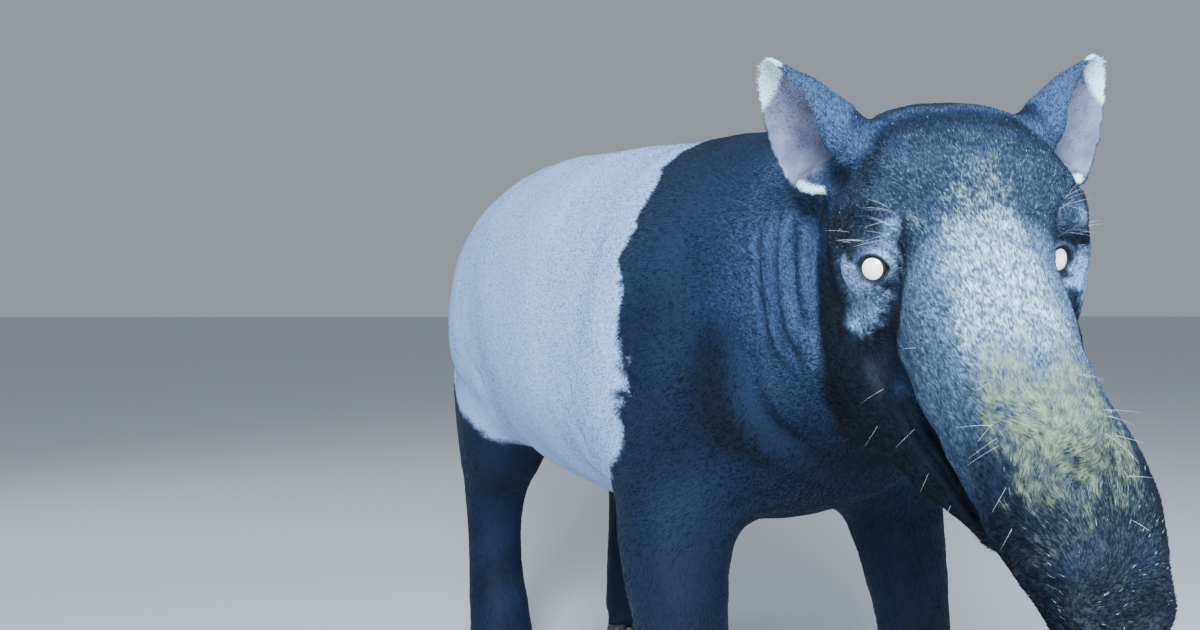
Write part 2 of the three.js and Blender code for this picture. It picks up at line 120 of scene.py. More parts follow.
LEGS = dict(
    foreleg=dict(
        x=[385, 370, 392, 426, 432, 438, 448],
        y=[112, 146, 164, 162, 160, 158, 158],
        z=[700, 560, 430, 290, 195, 110, 22],
        half=[80, 84, 74, 60, 51, 56, 66],
        up=[120, 104, 80, 63, 48, 54, 64],
        down=[140, 122, 84, 58, 51, 56, 58],
        ankle=(440, 158),
        toes=[(34, -4, 0, 1, 70), (20, 38, 30, 0.84, 66), (16, -44, -34, 0.84, 66), (-22, 52, 62, 0.62, 66)],
    ),
    hindleg=dict(
        x=[-470, -470, -484, -545, -552, -532, -516],
        y=[108, 138, 154, 158, 158, 156, 156],
        z=[740, 600, 480, 345, 220, 112, 22],
        half=[108, 108, 90, 62, 49, 55, 64],
        up=[180, 180, 126, 64, 50, 55, 62],
        down=[200, 188, 128, 80, 52, 56, 58],
        ankle=(-516, 156),
        toes=[(34, -2, 0, 1, 70), (18, 40, 30, 0.84, 66), (16, -42, -32, 0.84, 66)],
    ),
)
STRIDE = dict(foreleg_left=55, foreleg_right=-20, hindleg_left=-45, hindleg_right=60)
TOE = dict(length=50, radius=30)
HOOF = dict(wide=30, deep=27, high=42, lean=14, narrowing=0.28, low_back=0.35)

# The hollow between the eye and the snout, in the head's frame; painted shade darkens the coat along it
FACE_GROOVE = [
    (9, 60, 52),
    (16, 63, 28),
    (24, 67, 4),
    (28, 68, -20),
    (28, 68, -50),
    (38, 72, -74),
    (60, 72, -96),
]
# Creases of the skin: name, frame, width, depth, how deep on the animal's right and left, and a short curve
CREASES = [
    (
        "neck_fold_back", "body", 9, 4.5, (1, 0.3),
        [(604, -166, 832), (617, -179, 784), (622, -179, 743), (626, -168, 697)],
    ),
    (
        "neck_fold_deep", "body", 9, 9, (1, 0.3),
        [(640, -165, 850), (650, -178, 800), (655, -180, 745), (662, -172, 700), (682, -162, 670)],
    ),
    (
        "neck_fold_thin", "body", 7, 5, (1, 0.3),
        [(676, -167, 832), (685, -176, 781), (690, -173, 732), (698, -163, 700)],
    ),
    (
        "neck_fold_front", "body", 8, 6, (1, 0.5),
        [(700, -157, 840), (705, -167, 791), (705, -167, 742), (705, -158, 690)],
    ),
    (
        "throat_fold", "body", 16, 6, (1, 0.6),
        [(586, -172, 700), (568, -156, 640), (575, -132, 600), (600, -98, 574)],
    ),
    ("brow_fold", "head", 4, 2.4, (1, 1), [(-41, -91, 43), (-13, -82, 51), (9, -68, 52), (24, -63, 42)]),
    ("brow_fold_high", "head", 4, 1.3, (1, 1), [(-38, -86, 56), (-12, -74, 62), (12, -62, 62)]),
    ("face_groove", "head", 11, 5, (1, 1), [(x, -y, z) for x, y, z in FACE_GROOVE]),
    ("cheek_fold", "head", 7, 2, (1, 1), [(20, -98, -62), (44, -84, -80), (62, -74, -96)]),
    ("ear_fold", "head", 7, 3, (1, 1), [(-128, -84, 30), (-112, -96, 8), (-100, -102, -20)]),
    ("elbow_fold", "body", 13, 6, (1, 1), [(262, -232, 600), (250, -226, 540), (268, -205, 480)]),
    ("flank_fold", "body", 16, 6, (1, 1), [(-255, -262, 640), (-268, -258, 570), (-300, -240, 510)]),
    ("haunch_line", "body", 26, 4, (1, 1), [(-560, -215, 800), (-590, -205, 700), (-585, -200, 600)]),
    ("shoulder_line", "body", 30, 5, (1, 1), [(470, -190, 860), (486, -205, 760), (470, -215, 660)]),
    ("blade_line", "body", 42, 4, (1, 1), [(300, -225, 860), (285, -255, 760), (270, -262, 660)]),
]
# The first four creases, the neck's folds, which also get painted shade in the coat's tone
NECK_FOLDS = CREASES[:4]
# Where the front wall of an ear runs down onto the head, in the head's frame; painted light lifts the coat's
# tone along it
EAR_FOOT = [(-122, 104, 40), (-112, 105, 14), (-102, 104, -8)]
# The neck's edge behind the jaw, on the animal's right: its height and how far forwards it lies there
JOWL = [(560, 598), (590, 648), (630, 680), (690, 708), (840, 705)]
# Where the white saddle begins behind the shoulder at each height, and how low it reaches over the hind leg
SADDLE_FRONT = [(400, 262), (440, 278), (500, 315), (560, 362), (620, 404), (698, 414), (769, 402)]
SADDLE_FRONT += [(824, 396), (882, 384), (930, 352), (960, 330), (990, 300), (1040, 270)]
SADDLE_FOOT = [(-760, 700), (-640, 655), (-520, 590), (-400, 520), (-300, 470), (-230, 420)]
SADDLE_FOOT_END = -225
# Frosted hair along the head: how far round the snout it reaches, in degrees from the top, and its density
FROST_WIDTH = [(-60, 10), (-24, 13), (4, 12), (27, 15), (42, 18)]
FROST_WIDTH += [(77, 25), (110, 26), (136, 34), (170, 38), (240, 48)]
FROST_AMOUNT = [(-70, 0.08), (-30, 0.16), (10, 0.34), (40, 0.62), (85, 1)]
FROST_AMOUNT += [(135, 1), (158, 0.6), (185, 0.14), (300, 0.04)]
# Stiff hairs of the face in the head's frame: root, direction, length, how many on each side
WHISKERS = [
    ((-4, 72, 55), (0.2, 0.75, 0.6), 34, 3),
    ((4, 74, 45), (0.3, 0.85, 0.4), 30, 3),
    ((6, 77, 34), (0.3, 0.9, 0.25), 30, 3),
    ((-34, 96, 8), (-0.1, 0.95, 0.3), 24, 2),
    ((-12, 92, 24), (0.1, 0.95, 0.35), 26, 3),
    ((189, 31, 25), (0.5, 0.7, 0.45), 30, 2),
    ((213, 42, 13), (0.5, 0.8, 0.3), 34, 2),
    ((229, 46, 5), (0.5, 0.85, 0.2), 34, 2),
    ((250, 44, -14), (0.6, 0.75, -0.1), 25, 1),
    ((268, 40, -34), (0.5, 0.8, -0.3), 20, 1),
    ((51, 79, -86), (0.3, 0.9, -0.3), 24, 1),
    ((67, 89, -121), (0.3, 0.8, -0.5), 24, 1),
    ((95, 61, -97), (0.4, 0.8, -0.4), 22, 1),
    ((109, 73, -7), (0.45, 0.85, 0.1), 20, 1),
    ((135, 50, -110), (0.4, 0.7, -0.6), 22, 1),
    ((165, 42, -118), (0.5, 0.6, -0.6), 20, 1),
    ((195, 30, -122), (0.5, 0.4, -0.7), 20, 1),
]
# How light the dark hair on the ears is
EAR_TONE = 0.84
# The opening between the lids, half its length and height, and the rings of the eye, in millimetres
LID_OPENING = (11.6, 10.2)
PUPIL_RADIUS, IRIS_RADIUS = 8.9, 10.2
# How deep the skin lies inside the coat, in millimetres
COAT_DEPTH = dict(body=2.6, head=1.9, leg=1.8, ear=0.5)
UV_MAP = "OFBake"
# Half the width of a tuft's patch of the unwrap
TUFT_PATCH = 0.0015
# The lamps' places and sizes, what they point at and how far the floor runs out, in metres
LAMPS = dict(key=((2.3, -1.3, 2.1), 1.1), fill=((2.2, 2.6, 1.8), 2.5), back=((-2.8, -2.4, 2.8), 2.5))
LAMPS_AIM = (0.45, -0.1, 0.65)
FLOOR_REACH = 400
FLESH = ["tail", "trunk", "shoulders", "neck", "head", "proboscis", "lower_jaw", "ear_right", "ear_left"]
FLESH += [f"{part}_{side}" for part in ("foreleg", "forefoot", "hindleg", "hindfoot") for side in SIDES]


# Points and frames


def unit(v):
    """Vectors with a length of 1."""
    v = np.asarray(v, float)
    return v / np.maximum(np.linalg.norm(v, axis=-1, keepdims=True), 1e-12)


def flip(v, side):
    """A point or direction of the animal's left side, for the side given."""
    return np.array([v[0], v[1] * side, v[2]], float)


def through(stations, x):
    """The values at x on a smooth curve through rising stations (x, value), with no overshoot."""
    xs, ys = np.array(stations, float).T
    d = np.diff(ys) / np.diff(xs)
    m = np.concatenate([[d[0]], np.zeros(len(d) - 1), [d[-1]]])
    both = d[:-1] * d[1:]
    m[1:-1] = np.where(both > 0, 2 * both / np.where(both > 0, d[:-1] + d[1:], 1), 0)
    x = np.clip(x, xs[0], xs[-1])
    i = np.clip(np.searchsorted(xs, x, side="right") - 1, 0, len(d) - 1)
    span = xs[i + 1] - xs[i]
    t = (x - xs[i]) / span
    rise = span * t * (1 - t) * (m[i] * (1 - t) - m[i + 1] * t)
    return ys[i] * (1 + 2 * t) * (1 - t) ** 2 + ys[i + 1] * t * t * (3 - 2 * t) + rise


def smoothstep(low, high, x):
    t = np.clip((np.asarray(x, float) - low) / (high - low), 0, 1)
    return t * t * (3 - 2 * t)


def bell(x):
    """1 at 0, falling smoothly to both sides."""
    return np.exp(-(x**2))


def spline(points, count=400):
    """A centripetal Catmull-Rom curve through points: its length, and points and directions even along it."""
    p = np.array(points, float)
    p = np.vstack([2 * p[0] - p[1], p, 2 * p[-1] - p[-2]])
    gaps = np.linalg.norm(np.diff(p, axis=0), axis=1) ** 0.5
    knots = np.concatenate([[0], np.cumsum(gaps)])
    made = []
    for i in range(1, len(p) - 2):
        t = np.linspace(knots[i], knots[i + 1], count // 4, endpoint=i == len(p) - 3)[:, None]
        t0, t1, t2, t3 = knots[i - 1 : i + 3]
        between = lambda first, last, low, high: ((high - t) * first + (t - low) * last) / (high - low)
        near = between(p[i - 1], p[i], t0, t1)
        middle = between(p[i], p[i + 1], t1, t2)
        far = between(p[i + 1], p[i + 2], t2, t3)
        made.append(between(between(near, middle, t0, t2), between(middle, far, t1, t3), t1, t2))
    line = np.vstack(made)
    run = np.concatenate([[0], np.cumsum(np.linalg.norm(np.diff(line, axis=0), axis=1))])
    even = np.linspace(0, run[-1], count)
    line = np.stack([np.interp(even, run, line[:, k]) for k in range(3)], 1)
    return run[-1], line, unit(np.gradient(line, axis=0))


def frame_of(ahead, over=(0, 0, 1)):
    """A rotation with its x along `ahead` and its z as near `over` as it can be, as columns."""
    x = unit(ahead)
    y = unit(np.cross(over, x))
    return np.stack([x, y, np.cross(x, y)], 1)


def rotation(roll, pitch, yaw):
    """A turn about x, then y, then z, in degrees."""
    r, p, w = (math.radians(a) for a in (roll, pitch, yaw))
    about_x = np.array([[1, 0, 0], [0, math.cos(r), -math.sin(r)], [0, math.sin(r), math.cos(r)]])
    about_y = np.array([[math.cos(p), 0, math.sin(p)], [0, 1, 0], [-math.sin(p), 0, math.cos(p)]])
    about_z = np.array([[math.cos(w), -math.sin(w), 0], [math.sin(w), math.cos(w), 0], [0, 0, 1]])
    return about_z @ about_y @ about_x


HEAD_TURN = rotation(HEAD["roll"], HEAD["pitch"], HEAD["yaw"])
HEAD_AT = np.array(HEAD["between_eyes"], float)


def from_head(points):
    return np.asarray(points, float) @ HEAD_TURN.T + HEAD_AT


def to_head(points):
    return (np.asarray(points, float) - HEAD_AT) @ HEAD_TURN


def own(h, place):
    """Points of the head's frame in the frame of an eye, ear or nostril, given as its turn and place."""
    turn, at = place
    return (h - at) @ turn


def eye_frame(side):
    """The turn and place of an eye in the head's frame: x looks out, y runs along the lids."""
    lean = math.radians(EYE["tilt"])
    over = (-math.sin(lean), 0, math.cos(lean))
    return frame_of(flip(EYE["gaze"], side), over), flip(EYE["at"], side)


# Closed forms round a path, in millimetres


def grid_faces(rings, around):
    """Faces of a closed form whose first and last points are its ends."""
    faces = [(0, 1 + (j + 1) % around, 1 + j) for j in range(around)]
    for i in range(rings - 1):
        a, b = 1 + i * around, 1 + (i + 1) * around
        faces += [(a + j, a + (j + 1) % around, b + (j + 1) % around, b + j) for j in range(around)]
    last, end = 1 + (rings - 1) * around, 1 + rings * around
    faces += [(end, last + j, last + (j + 1) % around) for j in range(around)]
    return faces


def loft(path, half, up, down, around, along, cap, round_=(2, 2), side=None, swell=None):
    """A closed form along a path, from its half widths and its reaches above and below, with domed ends."""
    length, line, ahead = spline(path)
    stations = lambda v: v if np.ndim(v[0]) else list(zip(np.linspace(0, 1, len(v)), v))
    share = (1 - np.cos(np.pi * np.arange(1, along) / along)) / 2
    at = share * (len(line) - 1)
    pick = lambda rows: np.stack([np.interp(at, np.arange(len(line)), rows[:, k]) for k in range(3)], 1)
    centre, ahead = pick(line), unit(pick(ahead))
    across = np.tile(side, (len(at), 1)).astype(float) if side is not None else np.cross((0, 0, 1), ahead)
    across = unit(across - (across * ahead).sum(1, keepdims=True) * ahead)
    over = np.cross(ahead, across)
    dome = lambda s, reach: np.sqrt(np.clip(1 - np.clip(1 - s / reach, 0, 1) ** 2, 0, 1))
    ends = dome(share * length, cap[0]) * dome((1 - share) * length, cap[1])
    angle = 2 * np.pi * np.arange(around) / around
    c, s = np.cos(angle), np.sin(angle)
    power = np.where(s > 0, 2 / round_[0], 2 / round_[1])
    bow = lambda v: np.sign(v) * np.abs(v) ** power
    wide = through(stations(half), share)[:, None] * bow(c) * ends[:, None]
    above, below = (through(stations(v), share)[:, None] for v in (up, down))
    tall = np.where(s > 0, above, below) * bow(s) * ends[:, None]
    off = wide[..., None] * across[:, None] + tall[..., None] * over[:, None]
    points = centre[:, None] + off
    if swell:
        points = points + unit(off) * (swell(points) * ends[:, None])[..., None]
    return np.vstack([line[:1], points.reshape(-1, 3), line[-1:]]), grid_faces(along - 1, around)


def bumps(rows, points):
    """How far bumps push the surface at points: each is (centre, sizes, push), alike on both sides."""
    total = np.zeros(points.shape[:-1])
    for at, size, push in rows:
        d = (np.stack([points[..., 0], np.abs(points[..., 1]), points[..., 2]], -1) - at) / size
        total += push * np.exp(-(d**2).sum(-1))
    return total


def trunk_form():
    xs = TRUNK["xs"]
    top, middle, bottom, half = (np.array(TRUNK[k], float) for k in ("top", "middle", "bottom", "half"))
    spread = lambda v: [((x - xs[0]) / (xs[-1] - xs[0]), y) for x, y in zip(xs, v)]
    path = [(x, 0, z) for x, z in zip(xs, middle)]
    up, down = spread(top - middle), spread(middle - bottom)
    swell = lambda p: bumps(MUSCLES, p)
    return loft(path, spread(half), up, down, 96, 90, (80, 80), (2.25, 2.1), None, swell)


def head_form(plan, around, along, cap, round_, features=()):
    path = list(zip(plan["line"], plan["sway"], plan["rise"]))
    swell = (lambda p: bumps(features, p)) if features else None
    reaches = [plan[key] for key in ("half", "up", "down")]
    points, faces = loft(path, *reaches, around, along, cap, round_, None, swell)
    return from_head(points), faces


def unit_ball(around, rings):
    """The points of a ball with a radius of 1, whose poles lie on its x axis."""
    rise = np.pi * np.arange(1, rings) / rings
    angle = 2 * np.pi * np.arange(around) / around
    across, over = (np.outer(np.sin(rise), wave(angle)).ravel() for wave in (np.cos, np.sin))
    wall = np.stack([np.repeat(np.cos(rise), around), across, over], 1)
    return np.vstack([(1, 0, 0), wall, (-1, 0, 0)])


def lid_form(side):
    """The mound of the lids round an eye."""
    turn, at = eye_frame(side)
    around, rings = 32, 20
    mound = unit_ball(around, rings) * (EYE["radius"] + LIDS["thick"]) * np.array(LIDS["mound"])
    return from_head(mound @ turn.T + at), grid_faces(rings - 1, around)


def ear_form(where, around=72, along=44):
    """The cup of an ear with a rounded rim: a wall bent round, open towards the face of the ear."""
    side = SIDES[where]
    share = (np.arange(1, along) / along)[:, None]
    turn = (np.arange(around) / around * 2)[None]
    back = turn <= 1
    across = np.where(back, 1 - 2 * turn, 2 * turn - 3)
    swing = np.radians(through(EAR_REACH, share)) * across * (1 - EAR["wrap"] * side * across)
    inner = lambda v: np.maximum(0.02, (v - EAR["wall"]) * through(EAR_HOLLOW, share))
    wide, deep = (np.where(back, v, inner(v)) for v in (through(EAR_WIDTH, share), through(EAR_DEPTH, share)))
    bend = EAR["lean"] * share**2
    sway = through(EAR_SWAY, share) * side
    height = EAR["length"] * share + 0 * swing
    points = np.stack([bend - deep * np.cos(swing), sway + wide * np.sin(swing), height], -1)
    tip = (EAR["lean"], EAR_SWAY[-1][1] * side, EAR["length"])
    points = np.vstack([(0, 0, 0), points.reshape(-1, 3), tip])
    turned, at = ear_frame(where)
    return from_head(points @ turned.T + at), grid_faces(along - 1, around)


def ear_frame(where):
    """The turn and place of an ear in the head's frame: x looks out of its cup, z runs to its tip."""
    side = SIDES[where]
    axis = unit(flip(EAR_AXIS[where], side))
    facing = flip(EAR_FACING[where], side)
    facing = unit(facing - facing @ axis * axis)
    return np.stack([facing, np.cross(axis, facing), axis], 1), flip(EAR["root"], side)


def leg_form(name, plan, side):
    """A leg from inside the body to its ankle, with the foot moved by the animal's stride."""
    stations = list(zip(plan["x"], plan["y"], plan["z"]))
    top = plan["z"][0]
    path = [(x + STRIDE[name] * max(0, 1 - z / top), y * side, z) for x, y, z in stations]
    return loft(path, plan["half"], plan["up"], plan["down"], 40, 60, (70, 40), (2.1, 2.1), (0, 1, 0))


def toe_place(name, plan, toe, side):
    """The turn and place of a toe on the floor."""
    forwards, outwards, turn = toe[:3]
    x, y = plan["ankle"]
    at = (x + STRIDE[name] * 0.95 + forwards, (y + outwards) * side, 0)
    return rotation(0, 0, turn * side), np.array(at, float)


def toe_form(toe):
    size, root = toe[3:]
    r = TOE["radius"] * size
    path = [(-34, 0, root + 8), (-4, 0, 50 * size), (TOE["length"] * 0.5 * size, 0, 24 * size)]
    half, up, down = [r * 0.9, r, r * 0.92], [r * 0.9, r, r * 0.85], [r, r * 1.2, r]
    return loft(path, half, up, down, 24, 20, (14, 14), side=(0, 1, 0))


def body_forms():
    """Every form of the flesh, as points and faces in millimetres."""
    made = [trunk_form(), loft(around=64, along=50, cap=(60, 60), round_=(2.1, 2.1), **NECK)]
    made.append(loft(TAIL["path"], TAIL["half"], TAIL["half"], TAIL["half"], 28, 30, (20, 12)))
    made.append(head_form(CRANIUM, 96, 110, (45, 20), (2.7, 2.3), FEATURES))
    made.append(head_form(LOWER_JAW, 64, 60, (60, 22), (2, 2.3)))
    for where, side in SIDES.items():
        made += [lid_form(side), ear_form(where)]
        for kind, plan in LEGS.items():
            name = f"{kind}_{where}"
            made.append(leg_form(name, plan, side))
            for toe in plan["toes"]:
                points, faces = toe_form(toe)
                spin, at = toe_place(name, plan, toe, side)
                made.append((points @ spin.T + at, faces))
    return made


# Meshes


def merged(forms):
    """Several forms as one list of points and one of faces."""
    points, faces, count = [], [], 0
    for p, f in forms:
        points.append(p)
        faces += [tuple(i + count for i in face) for face in f]
        count += len(p)
    return np.vstack(points), faces


def mesh_object(name, points, faces):
    """A mesh object from points in metres."""
    mesh = bpy.data.meshes.new(name)
    mesh.from_pydata(np.asarray(points).tolist(), [], faces)
    mesh.update()
    obj = bpy.data.objects.new(name, mesh)
    bpy.context.scene.collection.objects.link(obj)
    return obj


def with_modifier(obj, kind, **settings):
    """Applies one modifier to an object's mesh."""
    modifier = obj.modifiers.new(kind.title(), kind)
    for key, value in settings.items():
        setattr(modifier, key, value)
    depsgraph = bpy.context.evaluated_depsgraph_get()
    made = bpy.data.meshes.new_from_object(obj.evaluated_get(depsgraph))
    obj.modifiers.clear()
    old, obj.data = obj.data, made
    name = old.name
    bpy.data.meshes.remove(old)
    made.name = name


def read(rows, name, width, kind=float):
    """One property of many elements, as rows of numbers."""
    values = np.zeros(len(rows) * width, kind)
    rows.foreach_get(name, values)
    return values.reshape(-1, width) if width > 1 else values


def points_of(mesh):
    """A mesh's points in millimetres, in the solids' own coordinates."""
    return read(mesh.vertices, "co", 3) / MM + BOX_CENTRE


def skin_tree(mesh):
    """A mesh's faces, ready for finding the nearest point."""
    return BVHTree.FromPolygons([v.co for v in mesh.vertices], [tuple(f.vertices) for f in mesh.polygons])


def set_points(mesh, points):
    mesh.vertices.foreach_set("co", ((points - BOX_CENTRE) * MM).ravel())
    mesh.update()


def shade_smooth(mesh):
    mesh.polygons.foreach_set("use_smooth", np.ones(len(mesh.polygons), bool))


def normals_of(mesh):
    return read(mesh.vertex_normals, "vector", 3)


def neighbour_mean(values, edges, degree):
    """The mean of each point's neighbours."""
    a, b = edges.T
    total = [np.bincount(a, v[b], len(v)) + np.bincount(b, v[a], len(v)) for v in values.T]
    return np.stack(total, 1) / degree[:, None]


def smoothed(values, edges, weight, times):
    """Values moved towards the mean of their neighbours, by a weight at each point."""
    degree = np.maximum(np.bincount(edges.ravel(), minlength=len(values)), 1)
    flat = values[:, None] if values.ndim == 1 else values
    for _ in range(times):
        flat = flat + weight[:, None] * (neighbour_mean(flat, edges, degree) - flat)
    return flat[:, 0] if values.ndim == 1 else flat


def subdivided(mesh, near):
    """Splits the edges whose ends are both in a set of points."""
    edges = read(mesh.edges, "vertices", 2, int)
    chosen = np.nonzero(near[edges].all(1))[0]
    bm = bmesh.new()
    bm.from_mesh(mesh)
    bm.edges.ensure_lookup_table()
    bmesh.ops.subdivide_edges(bm, edges=[bm.edges[i] for i in chosen], cuts=1, use_grid_fill=True)
    bmesh.ops.triangulate(bm, faces=[f for f in bm.faces if len(f.verts) > 4])
    bm.to_mesh(mesh)
    bm.free()
    mesh.update()


# Where things lie on the body, from 0 to 1 at points in millimetres


def head_share(points):
    """1 on the head, falling to 0 on the neck behind the jaw and ears."""
    x, y, z = to_head(points).T
    return smoothstep(-215, -125, x + 0.25 * z) * smoothstep(-330, -250, z) * smoothstep(260, 200, np.abs(y))


def ear_share(points):
    """1 on the ears, and how far along the ear each point is."""
    best, along = np.zeros(len(points)), np.zeros(len(points))
    h = to_head(points)
    for where in SIDES:
        e = own(h, ear_frame(where))
        s = smoothstep(16, 34, e[:, 2]) * smoothstep(90, 80, np.hypot(e[:, 0], e[:, 1]))
        s *= smoothstep(88, 98, np.abs(h[:, 1]) - 0.35 * h[:, 0] + 0.1 * h[:, 2] - 40)
        along = np.where(s > best, e[:, 2] / EAR["length"], along)
        best = np.maximum(best, s)
    return best, along


def leg_share(points):
    """1 on the legs below the body."""
    x, z = points[:, 0], points[:, 2]
    return smoothstep(500, 400, z + 0.18 * np.abs(x - 400) * (x > 0) - 0.25 * np.clip(-x - 430, 0, 300))


def fine_share(points):
    """1 where the skin keeps its finest faces: the head and ears."""
    h = to_head(points)
    x, y, z = h[:, 0], np.abs(h[:, 1]), h[:, 2]
    face = (x > -120) & (x < 340) & (y < 150) & (z > -210) & (z < 150)
    ears = (x > -240) & (x < 20) & (y > 50) & (y < 250) & (z > 20) & (z < 230)
    return (face | ears).astype(float)


# Sculpting


def frame_points(frame_name, points):
    return from_head(points) if frame_name == "head" else np.array(points, float)


def onto(tree, points):
    """Points in millimetres moved to the nearest point of the skin."""
    found = [tree.find_nearest(Vector((p - BOX_CENTRE) * MM))[0] for p in points]
    return np.array([np.array(f) / MM + BOX_CENTRE for f in found])


def near_curve(points, curve, reach):
    """The points within reach of a curve: which they are, how far off, and how far along it."""
    _, line, _ = spline(curve, 80)
    inside = ((points > line.min(0) - reach) & (points < line.max(0) + reach)).all(1)
    chosen = np.nonzero(inside)[0]
    gaps = np.linalg.norm(points[chosen, None] - line[None], axis=2)
    nearest = gaps.argmin(1)
    return chosen, gaps[np.arange(len(chosen)), nearest], nearest / (len(line) - 1)


def crease_push(points, tree):
    """How far each crease of the skin pulls it in, with low swells at its sides."""
    push = np.zeros(len(points))
    for _, frame_name, width, depth, shares, curve in CREASES:
        for side, share in zip((1, -1), shares):
            mirrored = [(x, y * side, z) for x, y, z in curve]
            line = onto(tree, frame_points(frame_name, mirrored))
            chosen, gap, along = near_curve(points, line, width * 4)
            fade = smoothstep(0, 0.22, along) * smoothstep(1, 0.78, along)
            shape = -bell(gap / width) + 0.4 * bell((gap - 2 * width) / width)
            push[chosen] += share * depth * fade * shape
    return push


def ripples(points, size, seed, waves=9):
    """A smooth random height from -1 to 1 or so, with bumps of a given size."""
    rng = np.random.default_rng(seed)
    total = np.zeros(len(points))
    for _ in range(waves):
        way = unit(rng.normal(size=3)) * rng.uniform(0.7, 1.4) * 2 * np.pi / size
        total += np.sin(points @ way + rng.uniform(0, 6.28))
    return total / waves**0.5


def mouth_curve(side):
    """The line of the mouth, from behind its corner to the front of the lips."""
    line = [(66, 82, -84), (96, 74, -90), (140, 60, -93), (190, 50, -95), (232, 36, -97)]
    sway = np.interp([x for x, _, _ in line], LOWER_JAW["line"], LOWER_JAW["sway"])
    return [(x, y * side + s, z) for (x, y, z), s in zip(line, sway)]


def lid_reach(e, side):
    """How far from the middle of an eye's opening, 1 at its edge, which is pointed at the inner corner."""
    r = np.hypot(e[:, 1] / LID_OPENING[0], e[:, 2] / LID_OPENING[1])
    corner = np.arctan2(e[:, 2], -side * e[:, 1])
    return r - 0.15 * bell(corner / 0.3) * smoothstep(0.6, 1.1, r)


def shape_lids(h, side):
    """Lids that hug the eye: a round opening, a thick edge, an upper fold and softer lines below."""
    turn, at = eye_frame(side)
    e = (h - at) @ turn
    out, along, across = e.T
    r = lid_reach(e, side)
    near = (r < 3.4) & (out > 0)
    ball = np.sqrt(np.maximum(EYE["radius"] ** 2 - along**2 - across**2, 0))
    edge = ball + 1.1
    lid = 17.4 - 0.5 * r + 1.2 * bell((r - 1.34) / 0.22)
    lid += np.where(across > 0, -1.5, -0.8) * bell((r - 1.9) / 0.16)
    lid += np.where(across > 0, 1.0, 0.4) * bell((r - 2.2) / 0.22)
    lid = np.minimum(lid, out - 1.5 + 1.2 * bell((r - 1.34) / 0.3))
    opened = np.where(r < 1, ball - 2.2, edge)
    opened = opened + (edge - opened) * smoothstep(0.9, 1.0, r)
    target = opened + (lid - opened) * smoothstep(1.0, 1.32, r)
    blend = smoothstep(3.4, 2.0, r)
    e[near, 0] = (out + (target - out) * blend)[near]
    return e @ turn.T + at


def nostril_frame(side):
    """The turn and place of a nostril in the head's frame: x looks out."""
    at = np.array(NOSTRIL["at"], float) + (0, NOSTRIL["apart"] * side, 0)
    turn = frame_of(np.array(NOSTRIL["faces"], float) + (0, NOSTRIL["splay"] * side, 0))
    return turn @ rotation(NOSTRIL["lean"] * side, 0, 0), at


def nostril_reach(e):
    """How far from the middle of a nostril, 1 at its edge."""
    return np.hypot(e[:, 1] / NOSTRIL["size"][1], e[:, 2] / NOSTRIL["size"][2])


def shape_nostril(h, side):
    """A deep comma of a nostril with a raised edge."""
    turn, at = nostril_frame(side)
    e = (h - at) @ turn
    r = nostril_reach(e)
    near = (r < 3) & (np.abs(e[:, 0]) < 22)
    push = -13 * smoothstep(1.02, 0.66, r) + 1.6 * bell((r - 1.35) / 0.3)
    e[near, 0] += push[near]
    return e @ turn.T + at


def coat_depth(points):
    """How deep the skin lies inside the coat at points, in millimetres."""
    head, (ear, _), leg = head_share(points), ear_share(points), leg_share(points)
    depth = COAT_DEPTH["body"] + (COAT_DEPTH["head"] - COAT_DEPTH["body"]) * head
    depth += (COAT_DEPTH["leg"] - depth) * leg
    depth += (COAT_DEPTH["ear"] - depth) * ear
    return depth


def sculpt(mesh):
    """Blends the forms into one another where they meet, and smooths the rest a little."""
    edges = read(mesh.edges, "vertices", 2, int)
    p = points_of(mesh)
    head, (ear, _) = head_share(p), ear_share(p)
    normal = normals_of(mesh)
    degree = np.maximum(np.bincount(edges.ravel(), minlength=len(p)), 1)
    hollow = ((neighbour_mean(p, edges, degree) - p) * normal).sum(1)
    hollow = smoothed(np.clip(hollow * 1.2, 0, 1), edges, np.full(len(p), 0.8), 10)
    soft = np.clip(hollow * (5 - 3 * head), 0, 1) * (1 - ear)
    p = smoothed(p, edges, 0.85 * soft, 70)
    for _ in range(6):
        p = smoothed(p, edges, np.full(len(p), 0.5), 1)
        p = smoothed(p, edges, np.full(len(p), -0.52), 1)
    set_points(mesh, p)


def detail(mesh):
    """Gives the skin its creases, swells, lids, lips and nostrils, and sets it in by the coat's depth."""
    p = points_of(mesh)
    normal = normals_of(mesh)
    tree = skin_tree(mesh)
    head, (ear, _), leg = head_share(p), ear_share(p), leg_share(p)
    push = crease_push(p, tree) - coat_depth(p)
    body = (1 - head) * (1 - leg)
    push += 1.5 * body * ripples(p, 150, 3) + 0.7 * body * ripples(p * (1, 1, 0.5), 46, 4)
    push += (0.8 * leg + 0.5 * head * (1 - ear)) * ripples(p, 30, 5)
    for side in SIDES.values():
        line = onto(tree, from_head(mouth_curve(side)))
        chosen, gap, along = near_curve(p, line, 30)
        lips = -5 * bell(gap / 2.2) + 1.6 * bell((gap - 6) / 3.2)
        push[chosen] += smoothstep(0, 0.2, along) * lips
    p = p + normal * push[:, None]
    h = to_head(p)
    for side in SIDES.values():
        h = shape_lids(h, side)
        h = shape_nostril(h, side)
    set_points(mesh, from_head(h))


# Markings and the lie of the coat


